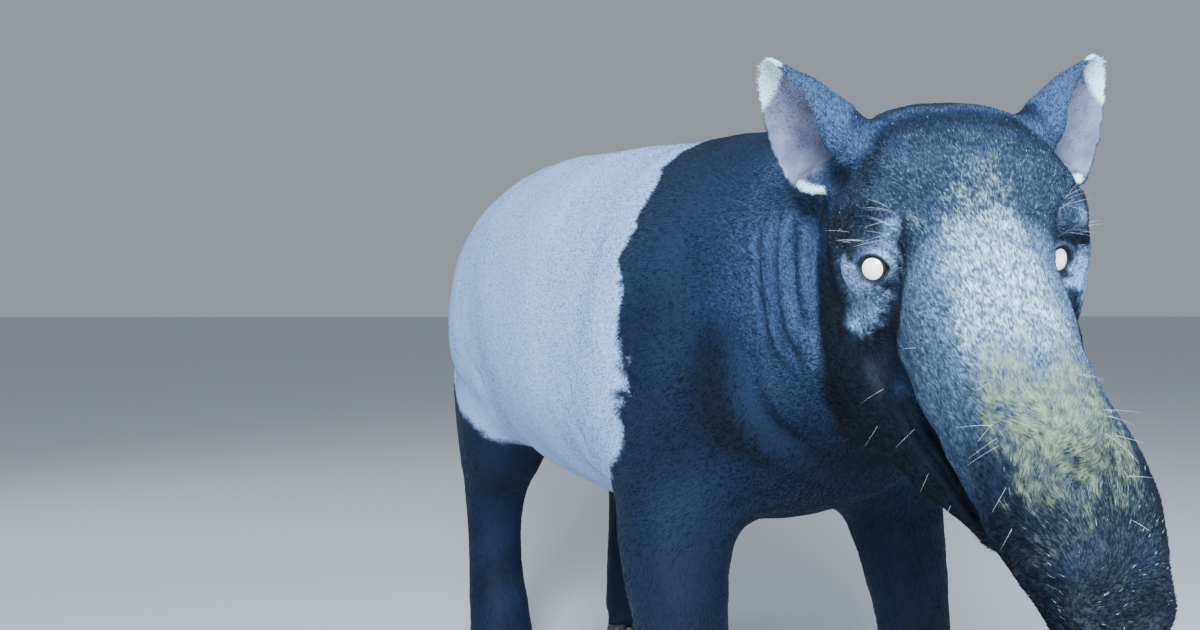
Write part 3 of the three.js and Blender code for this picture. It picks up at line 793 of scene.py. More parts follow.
def saddle_share(p):
    """1 on the white saddle, from behind the shoulders over belly and rump to the top of the hind legs."""
    x, y, z = p.T
    front = through(SADDLE_FRONT, z)
    edge = 9 * ripples(p, 90, 11) + 4 * ripples(p, 22, 12)
    saddle = smoothstep(14, -14, x - front + edge)
    leg_line = through(SADDLE_FOOT, x)
    inside = smoothstep(50, 90, np.abs(y))
    above = smoothstep(-26, 26, z - leg_line + 0.8 * edge)
    above = np.where(x > SADDLE_FOOT_END, 1, above)
    crotch = 405 + 135 * smoothstep(-320, -430, x)
    return saddle * (above * inside + (1 - inside) * smoothstep(-30, 30, z - crotch + 0.8 * edge))


def marks_of(p):
    """The markings at points in millimetres: white, frosted hair, dried mud and pale patches, from 0 to 1."""
    h = to_head(p)
    x, y, z = h.T
    out = np.abs(y)
    head = head_share(p)
    sway = np.interp(x, CRANIUM["line"], CRANIUM["sway"])
    rise = np.interp(x, CRANIUM["line"], CRANIUM["rise"])
    turn = np.degrees(np.arctan2(y - sway, z - rise))
    turn = np.where(turn > 0, 1.22 * turn, -turn)
    rough = ripples(h, 26, 21)
    streak = ripples(h * (0.3, 1, 1), 8, 22)
    width = np.interp(x, *zip(*FROST_WIDTH))
    frost = head * smoothstep(-90, -30, x) * smoothstep(width + 11, width - 9, turn + 4 * rough + 5 * streak)
    clumps = np.clip(0.92 + 0.28 * ripples(h * (1, 1, 0.5), 30, 23), 0.3, 1.25)
    frost *= np.interp(x, *zip(*FROST_AMOUNT)) * clumps
    horn = bell((x - 19 + 1.2 * (out - 53)) / 10)
    horn = horn * smoothstep(30, 38, out) * smoothstep(60, 50, out)
    frost = np.maximum(frost, 0.75 * head * horn * smoothstep(62, 50, z))
    grizzle = 0.07 * head * smoothstep(-110, -20, x)
    frost = np.maximum(frost, grizzle * smoothstep(110, 40, turn) * smoothstep(240, 170, x))
    mud = head * smoothstep(160, 195, x + 12 * rough + 6 * streak)
    mud *= smoothstep(52, 34, turn + 7 * rough + 4 * streak)
    mud *= smoothstep(272, 215, x + 14 * streak + 10 * rough)
    frost *= 1 - 0.5 * mud
    low = ((x + 8) / np.where(x < -8, 36, 27)) ** 2 + ((z + 32) / 36) ** 2
    eye = smoothstep(1.3, 0.35, low + 0.1 * rough + 0.16 * streak) * smoothstep(-40, -8, x - 0.3 * z)
    brow = 0.75 * bell((x - 6 + 0.1 * (z - 30)) / 7)
    brow = brow * smoothstep(-8, 8, z) * smoothstep(58, 38, z)
    patch = head * np.maximum(eye * smoothstep(58, 70, out), brow * smoothstep(50, 60, out))
    for side in SIDES.values():
        patch *= smoothstep(1.12, 1.36, lid_reach(own(h, eye_frame(side)), side)) * 0.94 + 0.06
    above_lips = smoothstep(-98, -82, z - 0.35 * np.clip(150 - x, 0, 200))
    cheek = head * smoothstep(34, 62, x) * smoothstep(245, 140, x) * (0.36 + 0.1 * streak) * above_lips
    patch = np.maximum(patch, cheek)
    ear, along = ear_share(p)
    tip = ear * smoothstep(0.79, 0.89, along)
    white = np.maximum(saddle_share(p), np.maximum(tip, ear_edge_share(h)))
    return np.clip(np.stack([white, frost * (1 - ear), mud, patch * (1 - ear)], 1), 0, 1)


def ear_edge_share(h):
    """1 on the white lower edge of each ear, at points in the head's frame."""
    total = np.zeros(len(h))
    for where, side in SIDES.items():
        e = own(h, ear_frame(where))
        out, up = side * e[:, 1] - 44, e[:, 2] - 22
        across, along = (out * 19 - up * 13) / 23, (out * 13 + up * 19) / 23
        edge = bell((across - 2) / 5) * smoothstep(-12, -2, along) * smoothstep(38, 24, along)
        total = np.maximum(total, edge * smoothstep(-6, 2, e[:, 0]) * smoothstep(40, 25, e[:, 0]))
    return total


def inner_ear_share(p, normal):
    """1 on the bare skin inside the cup of an ear."""
    h = to_head(p)
    n = normal @ HEAD_TURN
    total = np.zeros(len(p))
    for where, side in SIDES.items():
        turn, at = ear_frame(where)
        e, facing = (h - at) @ turn, n @ turn
        share = np.clip(e[:, 2] / EAR["length"], 0, 1)
        middle = np.stack([EAR["lean"] * share**2, through(EAR_SWAY, share) * side], 1)
        outwards = unit(e[:, :2] - middle)
        inside = smoothstep(0.15, -0.25, (outwards * facing[:, :2]).sum(1))
        inside *= smoothstep(24, 40, e[:, 2]) * smoothstep(145, 132, e[:, 2])
        total = np.maximum(total, inside * smoothstep(85, 75, np.hypot(e[:, 0], e[:, 1])))
    return total


def groove_shade_share(p):
    """1 in the hollow between the eye and the snout, where painted shade darkens the coat most."""
    h = to_head(p)
    h[:, 1] = np.abs(h[:, 1])
    chosen, gap, along = near_curve(h, FACE_GROOVE, 40)
    share = np.zeros(len(p))
    share[chosen] = bell(gap / 13) * smoothstep(0, 0.12, along) * smoothstep(1, 0.8, along)
    return share


def tone_with_painted_light_of(p):
    """How light the dark coat is at points in millimetres, 0.5 as a rule, with painted light and shade in it:
    painted light on the upper front of the neck, painted shade under the neck, in the throat fold, along the
    neck's folds, on the cheek and temple, towards the snout's end and in the hollow before the eye, a painted
    highlight on the crown's rim, and painted light at the foot of each ear.
    """
    h = to_head(p)
    x, y, z = h[:, 0], np.abs(h[:, 1]), h[:, 2]
    forwards, left, height = p.T
    head, (ear, _) = head_share(p), ear_share(p)
    # Painted light: lighter on the upper front of the neck, where the light falls nearest, and darker further
    # back.
    tone = 0.29 + 0.36 * smoothstep(430, 600, forwards) * smoothstep(560, 680, height)
    tone = tone + 0.04 * ripples(p, 120, 41)
    beside = smoothstep(-50, -100, left)
    tone -= 0.06 * smoothstep(520, 380, height)
    # Painted shade under the front of the neck, below the lowered head.
    tone -= 0.25 * smoothstep(560, 620, forwards) * smoothstep(750, 650, height) * (1 - beside)
    # Painted shadow of the throat fold on the animal's right, and a band of painted light beside it.
    shade = bell((forwards - 525) / 36)
    shade = shade * smoothstep(750, 690, height) * smoothstep(540, 600, height)
    tone += beside * (0.06 * smoothstep(570, 600, forwards) * smoothstep(560, 620, height) - 0.3 * shade)
    # Painted shade along the neck's folds.
    for _, _, width, depth, _, curve in NECK_FOLDS:
        chosen, gap, along = near_curve(p, curve, width * 3)
        ends = smoothstep(0, 0.2, along) * smoothstep(1, 0.8, along)
        tone[chosen] -= 0.035 * depth * ends * bell(gap / width)
    face = 0.43 + 0.06 * ripples(h, 40, 42)
    # Painted shade on the cheek and temple, where the head turns away from the light.
    cheek = smoothstep(-30, -62, z - 0.1 * x) * smoothstep(60, 80, y) * smoothstep(110, 70, x)
    cheek = np.maximum(cheek, smoothstep(-84, -98, z) * smoothstep(260, 200, x))
    temple = smoothstep(88, 98, y) * smoothstep(-100, -60, x) * smoothstep(40, 10, z)
    face -= 0.36 * np.maximum(cheek, 0.75 * temple)
    # Painted shade towards the snout's end.
    face -= 0.3 * smoothstep(170, 270, x)
    # A painted highlight along the crown's rim, and a band of painted shade just in front of it.
    band = -78 + 27 * smoothstep(55, 90, y)
    face += 0.28 * bell((x - band + 30) / 13) * smoothstep(30, 60, z)
    face -= 0.22 * bell((x - band) / 13) * smoothstep(30, 60, z)
    above_eye = np.exp(-(((x + 30) / 18) ** 2) - (((z - 24) / 16) ** 2)) * smoothstep(60, 75, y)
    face -= 0.2 * above_eye
    jowl = np.interp(height, *zip(*JOWL))
    behind = beside * smoothstep(10, -8, forwards - jowl) * smoothstep(872, 845, height)
    head = head * (1 - behind)
    tone = tone * (1 - head) + head * face
    # Painted shade in the hollow between the eye and the snout.
    tone = tone * (1 - 0.92 * groove_shade_share(p))
    # Painted light: the ears' lighter tone carried down where the front wall of each ear meets the head.
    chosen, gap, along = near_curve(np.stack([x, y, z], 1), EAR_FOOT, 30)
    tone[chosen] += (EAR_TONE - tone[chosen]) * bell(gap / 13) * smoothstep(1, 0.8, along)
    tone = tone * (1 - ear) + ear * EAR_TONE
    for side in SIDES.values():
        e = own(h, eye_frame(side))
        ring = smoothstep(1.4, 1.18, lid_reach(e, side)) * (e[:, 0] > 0)
        tone = tone * (1 - 0.9 * ring)
    return np.clip(tone, 0.02, 1)


def areas_of(p, normal):
    """Shares of the leg, head and inner ear at points in millimetres, and the tone of the dark coat with its
    painted light and shade.
    """
    return np.stack([leg_share(p), head_share(p), inner_ear_share(p, normal), tone_with_painted_light_of(p)], 1)


def lie_of(p, normal):
    """The direction in which the coat lies, along the skin."""
    head, (ear, _), leg = head_share(p), ear_share(p), leg_share(p)
    flank = np.abs(normal[:, 1]) * smoothstep(1000, 700, p[:, 2])
    way = np.stack([np.full(len(p), -1.0), 0 * flank, -0.55 * flank], 1)
    neck = smoothstep(480, 640, p[:, 0]) * (1 - leg)
    way += neck[:, None] * (0, 0, -0.25)
    way = way * (1 - leg[:, None]) + leg[:, None] * (-0.25, 0, -1)
    h = to_head(p)
    sides = smoothstep(30, 80, np.abs(h[:, 1]))
    on_head = np.stack([np.full(len(p), -1.0), 0.25 * np.sign(h[:, 1]) * (1 - sides), -0.35 * sides], 1)
    swirl = 0.55 * smoothstep(150, 210, h[:, 0])
    on_head[:, 1] += swirl * ripples(h, 60, 31)
    on_head[:, 2] += swirl * ripples(h, 60, 32)
    way = way * (1 - head[:, None]) + head[:, None] * (on_head @ HEAD_TURN.T)
    for where in SIDES:
        turn, _ = ear_frame(where)
        here = ear * (np.sign(h[:, 1]) == SIDES[where])
        way = way * (1 - here[:, None]) + here[:, None] * (HEAD_TURN @ turn[:, 2])
    tail = smoothstep(-725, -745, p[:, 0]) * smoothstep(300, 500, p[:, 2])
    way = way * (1 - tail[:, None]) + tail[:, None] * (-0.1, 0, -1)
    way += 0.12 * np.stack([ripples(p, 70, 33 + k) for k in range(3)], 1)
    return unit(way - (way * normal).sum(1, keepdims=True) * normal)


def paint(mesh, name, values):
    """Stores four numbers at each point of a mesh."""
    layer = mesh.color_attributes.new(name, "FLOAT_COLOR", "POINT")
    layer.data.foreach_set("color", np.ascontiguousarray(values, np.float32).ravel())


# Materials


class Shade:
    """A shader socket whose sums, products and powers are Math nodes, and the tree that it is in."""

    def __init__(self, tree, socket=None):
        self.tree, self.socket = tree, socket

    def node(self, kind, settings=None, **inputs):
        """Adds a node: its settings first, then its sockets by name or place, such as Scale=4 or i0=value."""
        made = self.tree.nodes.new("ShaderNode" + kind)
        for key, value in (settings or {}).items():
            setattr(made, key, value)
        for key, value in inputs.items():
            numbered = key[0] == "i" and key[1:].isdigit()
            socket = made.inputs[int(key[1:]) if numbered else key.replace("_", " ")]
            if isinstance(value, Shade):
                self.tree.links.new(value.socket, socket)
            elif socket.type == "RGBA" and len(value) == 3:
                socket.default_value = (*value, 1)
            else:
                socket.default_value = value
        return made

    def out(self, made, name=0):
        return Shade(self.tree, made.outputs[name])

    def math(self, operation, *values):
        inputs = {f"i{k}": v for k, v in enumerate(values)}
        return self.out(self.node("Math", dict(operation=operation), **inputs))

    def __add__(self, other):
        return self.math("ADD", self, other)

    def __sub__(self, other):
        return self.math("SUBTRACT", self, other)

    def __mul__(self, other):
        return self.math("MULTIPLY", self, other)

    def __truediv__(self, other):
        return self.math("DIVIDE", self, other)

    def __pow__(self, other):
        return self.math("POWER", self, other)

    def __rsub__(self, other):
        return self.math("SUBTRACT", other, self)

    __radd__ = __add__
    __rmul__ = __mul__

    def step(self, low, high):
        """0 below low and 1 above high, smooth between."""
        settings = dict(interpolation_type="SMOOTHSTEP")
        return self.out(self.node("MapRange", settings, Value=self, From_Min=low, From_Max=high))

    def blend(self, first, second):
        """From the first colour to the second as this goes from 0 to 1."""
        made = self.node("Mix", dict(data_type="RGBA"), i0=self, i6=first, i7=second)
        return self.out(made, 2)

    def noise(self, scale, stretch=(1, 1, 1), turn=(0, 0, 0), detail=2.0):
        """Noise over the object's own coordinates, turned and stretched first."""
        place = self.out(self.node("TexCoord"), "Object")
        spun = self.out(self.node("Mapping", None, Vector=place, Rotation=turn))
        sized = self.out(self.node("VectorMath", dict(operation="MULTIPLY"), i0=spun, i1=stretch))
        return self.out(self.node("TexNoise", None, Vector=sized, Scale=scale, Detail=detail), "Fac")

    def channels(self, name):
        """The four numbers of a painted layer."""
        layer = self.node("Attribute", dict(attribute_name=name))
        parts = self.node("SeparateColor", None, Color=self.out(layer, "Color"))
        return [self.out(parts, k) for k in range(3)] + [self.out(layer, "Alpha")]


def material(name, **surface):
    """A material with one Principled surface, its constants set, and the Shade for its maths."""
    made = bpy.data.materials.new(name)
    made.use_nodes = True
    made.node_tree.nodes.clear()
    shade = Shade(made.node_tree)
    surface_node = shade.node("BsdfPrincipled", None, **surface)
    shade.node("OutputMaterial", None, Surface=shade.out(surface_node))
    return made, shade, surface_node


def feed(shade, node, **links):
    """Joins maths to the sockets of a surface."""
    for key, value in links.items():
        shade.tree.links.new(value.socket, node.inputs[key.replace("_", " ")])


def coat_finish(colours):
    """Short dense hair: dark slate with painted light and shade in its tone, a pale saddle, frosted snout,
    dried mud and pale skin inside the ears.
    """
    sheen = dict(Sheen_Weight=0.02, Sheen_Roughness=0.4, Sheen_Tint=(0.5, 0.68, 0.95))
    made, s, surface = material("tapir_coat", Specular_IOR_Level=0.11, **sheen)
    white, frost, mud, patch = s.channels("marks")
    leg, head, inner, tone = s.channels("areas")
    broad = s.noise(7, detail=3)
    fine = s.noise(160, detail=2)
    on_body = s.noise(620, (0.12, 1, 1), (0, -0.35, 0), 2)
    on_leg = s.noise(620, (1, 1, 0.12), (0, 0.2, 0), 2)
    turned = tuple(math.radians(a) for a in (-HEAD["roll"], -HEAD["pitch"], -HEAD["yaw"]))
    on_head = s.noise(560, (0.22, 1, 1), turned, 2)
    hair = on_body * (1 - leg) * (1 - head) + on_leg * leg * (1 - head) + on_head * head
    # The tone brings painted light and shade into the slate, along with the hair's own streaks.
    level = tone * (0.1 + 1.8 * hair) + (broad - 0.5) * 0.25
    dark = level.step(0.0, 0.55).blend(colours.dark_deep, colours.dark)
    dark = level.step(0.45, 1.0).blend(dark, colours.dark_light)
    light = (hair * 0.9 + broad * 0.3).step(0.3, 0.8).blend(colours.saddle_deep, colours.saddle)
    speckle = (hair * 0.8 + fine * 0.5).step(0.5, 0.86)
    base = (patch * (0.3 + 0.8 * hair.step(0.3, 0.7))).blend(dark, colours.patch)
    base = (frost * (0.08 + 0.62 * speckle)).blend(base, colours.frost)
    base = (mud * (0.35 + 0.65 * fine.step(0.35, 0.7))).blend(base, colours.mud)
    blotch = s.noise(40, detail=3).step(0.15, 0.8)
    base = (inner * 0.9).blend(base, blotch.blend(colours.inner_ear_deep, colours.inner_ear))
    light = head.blend(light, colours.frost)
    base = (white + (hair - 0.5) * 0.7 * white * (1 - white) * 4).step(0.2, 0.8).blend(base, light)
    height = hair * (1 - inner * 0.8) + 0.5 * fine
    bump = s.node("Bump", None, Strength=0.4, Distance=0.001, Height=height)
    feed(s, surface, Base_Color=base, Normal=s.out(bump))
    feed(s, surface, Roughness=0.48 + 0.3 * hair + 0.14 * white)
    return made


def eye_finish(colours):
    """A wet eye: a pearly pupil painted with a flash's eyeshine, which glows as painted light, a thin brown
    ring and dark edges.
    """
    wet = dict(Coat_Weight=1.0, Coat_Roughness=0.03, Specular_IOR_Level=0.6)
    made, s, surface = material("tapir_eye", Emission_Strength=0.9, **wet)
    place = s.node("SeparateXYZ", None, Vector=s.out(s.node("TexCoord"), "Object"))
    y, z = s.out(place, "Y"), s.out(place, "Z")
    reach = (y * y + z * z) ** 0.5 * 1000
    fibres = s.noise(900, detail=3)
    # Painted reflection: the pupil is pale with a flash's eyeshine.
    painted_eyeshine = (reach / 9.0).step(0.1, 1.0).blend(colours.pupil, colours.eyeshine_edge)
    ring = fibres.step(0.3, 0.7).blend(colours.iris, colours.iris_light)
    base = reach.step(PUPIL_RADIUS, PUPIL_RADIUS + 0.6).blend(painted_eyeshine, ring)
    base = reach.step(IRIS_RADIUS, IRIS_RADIUS + 0.8).blend(base, colours.eye_edge)
    # Painted light: the pupil glows by its own emission, as if lit by a flash.
    glow = reach.step(PUPIL_RADIUS, PUPIL_RADIUS + 0.5).blend(colours.pupil, (0, 0, 0))
    feed(s, surface, Base_Color=base, Emission_Color=glow, Roughness=0.08 + 0.25 * reach.step(9.4, 11))
    return made


def hoof_finish(colours):
    """Dark horn with growth rings and fine upright streaks, paler and scuffed at the sole."""
    made, s, surface = material("tapir_hoof", Specular_IOR_Level=0.4)
    up = s.out(s.node("SeparateXYZ", None, Vector=s.out(s.node("TexCoord"), "Object")), "Z")
    streak = s.noise(300, (1, 1, 0.08), detail=3)
    rings = s.noise(140, (0.15, 0.15, 1.5), detail=2)
    blotch = s.noise(45, detail=3)
    base = (streak * 0.7 + blotch * 0.5).step(0.35, 0.85).blend(colours.hoof_deep, colours.hoof)
    worn = (1 - (up / 0.012).step(0.1, 1.0)) * (0.3 + 0.6 * blotch)
    base = worn.blend(base, colours.hoof_worn)
    bump = s.node("Bump", None, Strength=0.5, Distance=0.0012, Height=0.6 * streak + rings)
    feed(s, surface, Base_Color=base, Normal=s.out(bump), Roughness=0.36 + 0.3 * blotch)
    return made


def whisker_finish(colours):
    """Stiff pale hair, uneven in tone."""
    made, s, surface = material("tapir_whisker", Specular_IOR_Level=0.5)
    tone = s.noise(60, detail=1)
    base = tone.step(0.3, 0.7).blend(colours.whisker_deep, colours.whisker)
    feed(s, surface, Base_Color=base, Roughness=0.4 + 0.2 * tone)
    return made


def floor_finish(colour):
    """A plain pale studio floor."""
    made, s, surface = material("studio_floor", Specular_IOR_Level=0.2)
    tone = s.noise(0.6, detail=2)
    light = tuple(c * 1.02 for c in colour)
    feed(s, surface, Base_Color=tone.blend(colour, light), Roughness=0.8 + 0.05 * tone)
    return made


# The skin


def near_places(h, frame_at, reach):
    """Whether points in the head's frame are within reach of either eye or nostril."""
    return np.any([np.linalg.norm(h - frame_at(side)[1], axis=1) < reach for side in SIDES.values()], axis=0)


def build_skin(settings):
    """One skin over the whole body, with its markings painted on and its own unwrap."""
    points, faces = merged(body_forms())
    skin = mesh_object("skin", (points - BOX_CENTRE) * MM, faces)
    voxel = settings.voxel * 1
    with_modifier(skin, "REMESH", mode="VOXEL", voxel_size=voxel, adaptivity=0)
    fine = fine_share(points_of(skin.data))
    group = skin.vertex_groups.new(name="fine")
    group.add(np.nonzero(fine)[0].tolist(), 1.0, "REPLACE")
    kept = (fine.sum() + settings.body_points) / len(fine)
    spared = dict(vertex_group="fine", invert_vertex_group=True, vertex_group_factor=10)
    with_modifier(skin, "DECIMATE", ratio=min(1, kept), **spared)
    skin.vertex_groups.clear()
    mesh = skin.data
    sculpt(mesh)
    for reach in (44, 25):
        subdivided(mesh, near_places(to_head(points_of(mesh)), eye_frame, reach))
    h = to_head(points_of(mesh))
    near = near_places(h, nostril_frame, 24)
    for side in SIDES.values():
        chosen, gap, _ = near_curve(h, mouth_curve(side), 12)
        near[chosen[gap < 10]] = True
    subdivided(mesh, near)
    detail(mesh)
    edges = read(mesh.edges, "vertices", 2, int)
    set_points(mesh, smoothed(points_of(mesh), edges, np.full(len(mesh.vertices), 0.3), 1))
    unwrap(skin)
    p, normal = points_of(mesh), normals_of(mesh)
    paint(mesh, "marks", marks_of(p))
    paint(mesh, "areas", areas_of(p, normal))
    shade_smooth(mesh)
    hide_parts(*FLESH)
    return skin


def unwrap(obj):
    """Unwraps a mesh by its own shape."""
    obj.data.uv_layers.new(name=UV_MAP)
    bpy.context.view_layer.objects.active = obj
    obj.select_set(True)
    bpy.ops.object.mode_set(mode="EDIT")
    bpy.ops.mesh.select_all(action="SELECT")
    bpy.ops.uv.smart_project(angle_limit=1.15, island_margin=0.001)
    bpy.ops.object.mode_set(mode="OBJECT")
    obj.select_set(False)


# The coat


def skin_table(skin):
    """The skin's triangles with all that the coat needs at their corners."""
    mesh = skin.data
    mesh.calc_loop_triangles()
    corners = read(mesh.loop_triangles, "vertices", 3, int)
    loops = read(mesh.loop_triangles, "loops", 3, int)
    p, normal = points_of(mesh), normals_of(mesh)
    a, b, c = (p[corners[:, k]] for k in range(3))
    return dict(
        corners=corners,
        loops=loops,
        points=p,
        normals=normal,
        marks=read(mesh.color_attributes["marks"].data, "color", 4),
        areas=read(mesh.color_attributes["areas"].data, "color", 4),
        uv=read(mesh.uv_layers[UV_MAP].data, "uv", 2),
        size=np.linalg.norm(np.cross(b - a, c - a), axis=1) / 2,
        middle=(a + b + c) / 3,
        lie=lie_of(p, normal),
    )


def bare_share(p):
    """1 where no hair grows: on the lids' edges, in the nostrils and along the lips."""
    h = to_head(p)
    bare = np.zeros(len(p))
    for side in SIDES.values():
        e = own(h, eye_frame(side))
        bare = np.maximum(bare, smoothstep(1.7, 1.45, lid_reach(e, side)) * (e[:, 0] > 0))
        e = own(h, nostril_frame(side))
        r = nostril_reach(e)
        bare = np.maximum(bare, smoothstep(1.9, 1.5, r) * (np.abs(e[:, 0]) < 24))
    return bare


def tuft_sizes(p, areas, marks):
    """Length, width and lift of the tufts at points, in millimetres: smallest on the face and feet."""
    h = to_head(p)
    head, leg = areas[:, 1], areas[:, 0]
    ear, along = ear_share(p)
    snout = head * smoothstep(20, 90, h[:, 0])
    feet = smoothstep(190, 60, p[:, 2])
    frost, patch = marks[:, 1], marks[:, 3]
    length = 8.0 - 2.4 * head - 0.6 * snout - 1.2 * leg - 2.2 * feet + head * (3.0 * frost - 2.0 * patch)
    length = length * (1 - ear) + ear * (4.4 + 2 * smoothstep(0.7, 0.95, along))
    width = 0.66 - 0.18 * head + 0.04 * snout - 0.06 * leg - 0.1 * feet
    lift = 0.055 + 0.03 * head + 0.06 * snout + 0.06 * ear
    return length, width, lift


def build_coat(name, table, share, count, seed):
    """One piece of the coat: thin closed tufts rooted in the skin, spread by a share of 0 to 1."""
    rng = np.random.default_rng(seed)
    weight = table["size"] * share(table["middle"])
    weight *= 1 - bare_share(table["middle"])
    count = count
    face = np.searchsorted(np.cumsum(weight), rng.random(count) * weight.sum())
    u, v = rng.random((2, count))
    over = u + v > 1
    u[over], v[over] = 1 - u[over], 1 - v[over]
    parts = np.stack([1 - u - v, u, v], 1)[..., None]
    at = lambda key, rows="corners": (table[key][table[rows][face]] * parts).sum(1)
    p, normal, lie, marks, areas = at("points"), unit(at("normals")), at("lie"), at("marks"), at("areas")
    length, width, lift = tuft_sizes(p, areas, marks)
    length *= rng.uniform(0.7, 1.25, count) * (1 - 0.5 * areas[:, 2])
    width *= rng.uniform(0.75, 1.25, count)
    lift *= rng.uniform(0.4, 1.7, count)
    side = np.cross(normal, unit(lie - (lie * normal).sum(1, keepdims=True) * normal))
    ahead = unit(np.cross(side, normal) + rng.normal(0, 0.16, count)[:, None] * side)
    side = np.cross(normal, ahead)
    wide, long, rise = width[:, None], length[:, None], (lift * length)[:, None]
    root = p - 0.35 * normal
    left, right = root + side * wide / 2, root - side * wide / 2
    top = p + normal * (0.32 * wide + 0.1) + ahead * 0.25 * long + normal * rise * 0.3
    tip = p + long * ahead + normal * rise
    points = np.stack([left, right, top, tip], 1)
    one = np.array([(0, 1, 2), (0, 2, 3), (2, 1, 3), (1, 0, 3)])
    faces = (np.arange(count)[:, None, None] * 4 + one).reshape(-1, 3)
    mesh = bpy.data.meshes.new(name)
    mesh.vertices.add(count * 4)
    mesh.vertices.foreach_set("co", ((points.reshape(-1, 3) - BOX_CENTRE) * MM).ravel())
    mesh.loops.add(faces.size)
    mesh.loops.foreach_set("vertex_index", faces.ravel().astype(np.int32))
    mesh.polygons.add(len(faces))
    mesh.polygons.foreach_set("loop_start", np.arange(0, faces.size, 3, dtype=np.int32))
    mesh.update(calc_edges=True)
    pale = rng.random(count) < marks[:, 1] * 0.8
    marks[:, 1] = np.where(pale, 0.5 + 0.3 * marks[:, 1] + 0.2 * rng.random(count), 0.12 * marks[:, 1])
    muddy = rng.random(count) < marks[:, 2] * 0.85
    marks[:, 2] = np.where(muddy, 0.55 + 0.45 * rng.random(count), 0.2 * marks[:, 2])
    # Each tuft takes the tone, painted light and shade included, varied at random.
    areas[:, 3] = np.clip(areas[:, 3] * rng.uniform(0.75, 1.3, count), 0, 1)
    paint(mesh, "marks", np.repeat(marks, 4, 0))
    paint(mesh, "areas", np.repeat(areas, 4, 0))
    spots = at("uv", "loops")[:, None] + np.array([(-1, -1), (1, -1), (0, 0), (0, 1)]) * TUFT_PATCH
    spots = np.clip(spots.reshape(-1, 2)[faces.ravel()], 0, 1)
    mesh.uv_layers.new(name=UV_MAP).data.foreach_set("uv", spots.ravel().astype(np.float32))
    shade_smooth(mesh)
    mesh.validate()
    obj = bpy.data.objects.new(name, mesh)
    bpy.context.scene.collection.objects.link(obj)
    return obj


def coat_regions():
    """The pieces of the coat: name, where each lies from 0 to 1, and its share of the tufts."""
    face_x = lambda p: to_head(p)[:, 0]
    ear = lambda p: ear_share(p)[0]
    head = lambda p: head_share(p) * (1 - ear(p))
    body = lambda p: (1 - head_share(p)) * (1 - ear(p)) * (1 - (leg_share(p) > 0.5))
    right, left = (lambda p: (p[:, 1] <= 0) * 1.0), (lambda p: (p[:, 1] > 0) * 1.0)
    return [
        ("coat_snout", lambda p: head(p) * (face_x(p) > 40), 1.0),
        ("coat_face", lambda p: head(p) * (face_x(p) <= 40) * (face_x(p) > -75), 1.0),
        ("coat_crown", lambda p: head(p) * (face_x(p) <= -75), 0.6),
        ("coat_ears", ear, 0.45),
        ("coat_neck", lambda p: body(p) * (p[:, 0] > 470), 0.95),
        ("coat_shoulder_right", lambda p: body(p) * right(p) * (p[:, 0] > 150) * (p[:, 0] <= 470), 0.7),
        ("coat_shoulder_left", lambda p: body(p) * left(p) * (p[:, 0] > 150) * (p[:, 0] <= 470), 0.45),
        ("coat_trunk_right", lambda p: body(p) * right(p) * (p[:, 0] <= 150), 0.85),
        ("coat_trunk_left", lambda p: body(p) * left(p) * (p[:, 0] <= 150), 0.85),
        ("coat_legs", lambda p: (leg_share(p) > 0.5) * 1.0, 0.8),
    ]


# Eyes, hooves and whiskers


def build_eye(where, settings):
    """An eyeball with a low cornea, set deep between its lids."""
    turn, at = eye_frame(SIDES[where])
    around, rings = 64, 48
    ball = unit_ball(around, rings) * EYE["radius"]
    reach = np.hypot(ball[:, 1], ball[:, 2])
    ball[:, 0] += np.where(ball[:, 0] > 0, settings.cornea * smoothstep(12, 0, reach), 0)
    eye = mesh_object(f"eye_{where}_glossy", ball * MM, grid_faces(rings - 1, around))
    spin = HEAD_TURN @ turn
    place = (from_head(at) - BOX_CENTRE) * MM
    eye.matrix_world = Matrix([(*spin[k], place[k]) for k in range(3)] + [(0, 0, 0, 1)])
    shade_smooth(eye.data)
    unwrap(eye)
    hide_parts(f"eye_{where}")
    return eye


def hoof_form(toe, rings=22, around=48):
    """A hoof as a closed form: a rounded wall that leans back, flat underneath and dished at the top."""
    size = toe[3]
    angle = 2 * np.pi * np.arange(around) / around
    middle = TOE["length"] - HOOF["deep"] * 0.62
    points = [(middle, 0, 0.0)]
    levels = [(0.55, 0.0), (0.93, 0.0), (0.985, 0.02), (1.0, 0.06)]
    levels += [(1.0, t) for t in np.linspace(0.1, 0.9, rings - 8)]
    levels += [(0.99, 0.95), (0.95, 0.985), (0.86, 1.0), (0.5, 0.97)]
    for share, height in levels:
        narrow = 1 - HOOF["narrowing"] * max(0, height) ** 1.6
        back = np.maximum(0, -np.cos(angle))
        top = HOOF["high"] * (1 - HOOF["low_back"] * back)
        x = middle - HOOF["lean"] * height + HOOF["deep"] * narrow * share * np.cos(angle)
        y = HOOF["wide"] * narrow * share * np.sin(angle)
        ring = np.stack([x, y, top * height], 1)
        points += [tuple(v) for v in ring]
    points.append((middle - HOOF["lean"], 0, HOOF["high"] * 0.8))
    return np.array(points) * size, grid_faces(len(levels), around)


def build_hooves():
    """One piece for each hoof."""
    made = []
    for where, side in SIDES.items():
        for kind, plan in LEGS.items():
            for i, toe in enumerate(plan["toes"]):
                points, faces = hoof_form(toe)
                spin, at = toe_place(f"{kind}_{where}", plan, toe, side)
                node = f"hoof_{kind.replace('leg', '')}_{where}_{i + 1}"
                points = points @ spin.T
                hoof = mesh_object(f"{node}_horn", points * MM, [f[::-1] for f in faces])
                hoof.location = (at - BOX_CENTRE) * MM
                shade_smooth(hoof.data)
                unwrap(hoof)
                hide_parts(node)
                made.append(hoof)
    return made


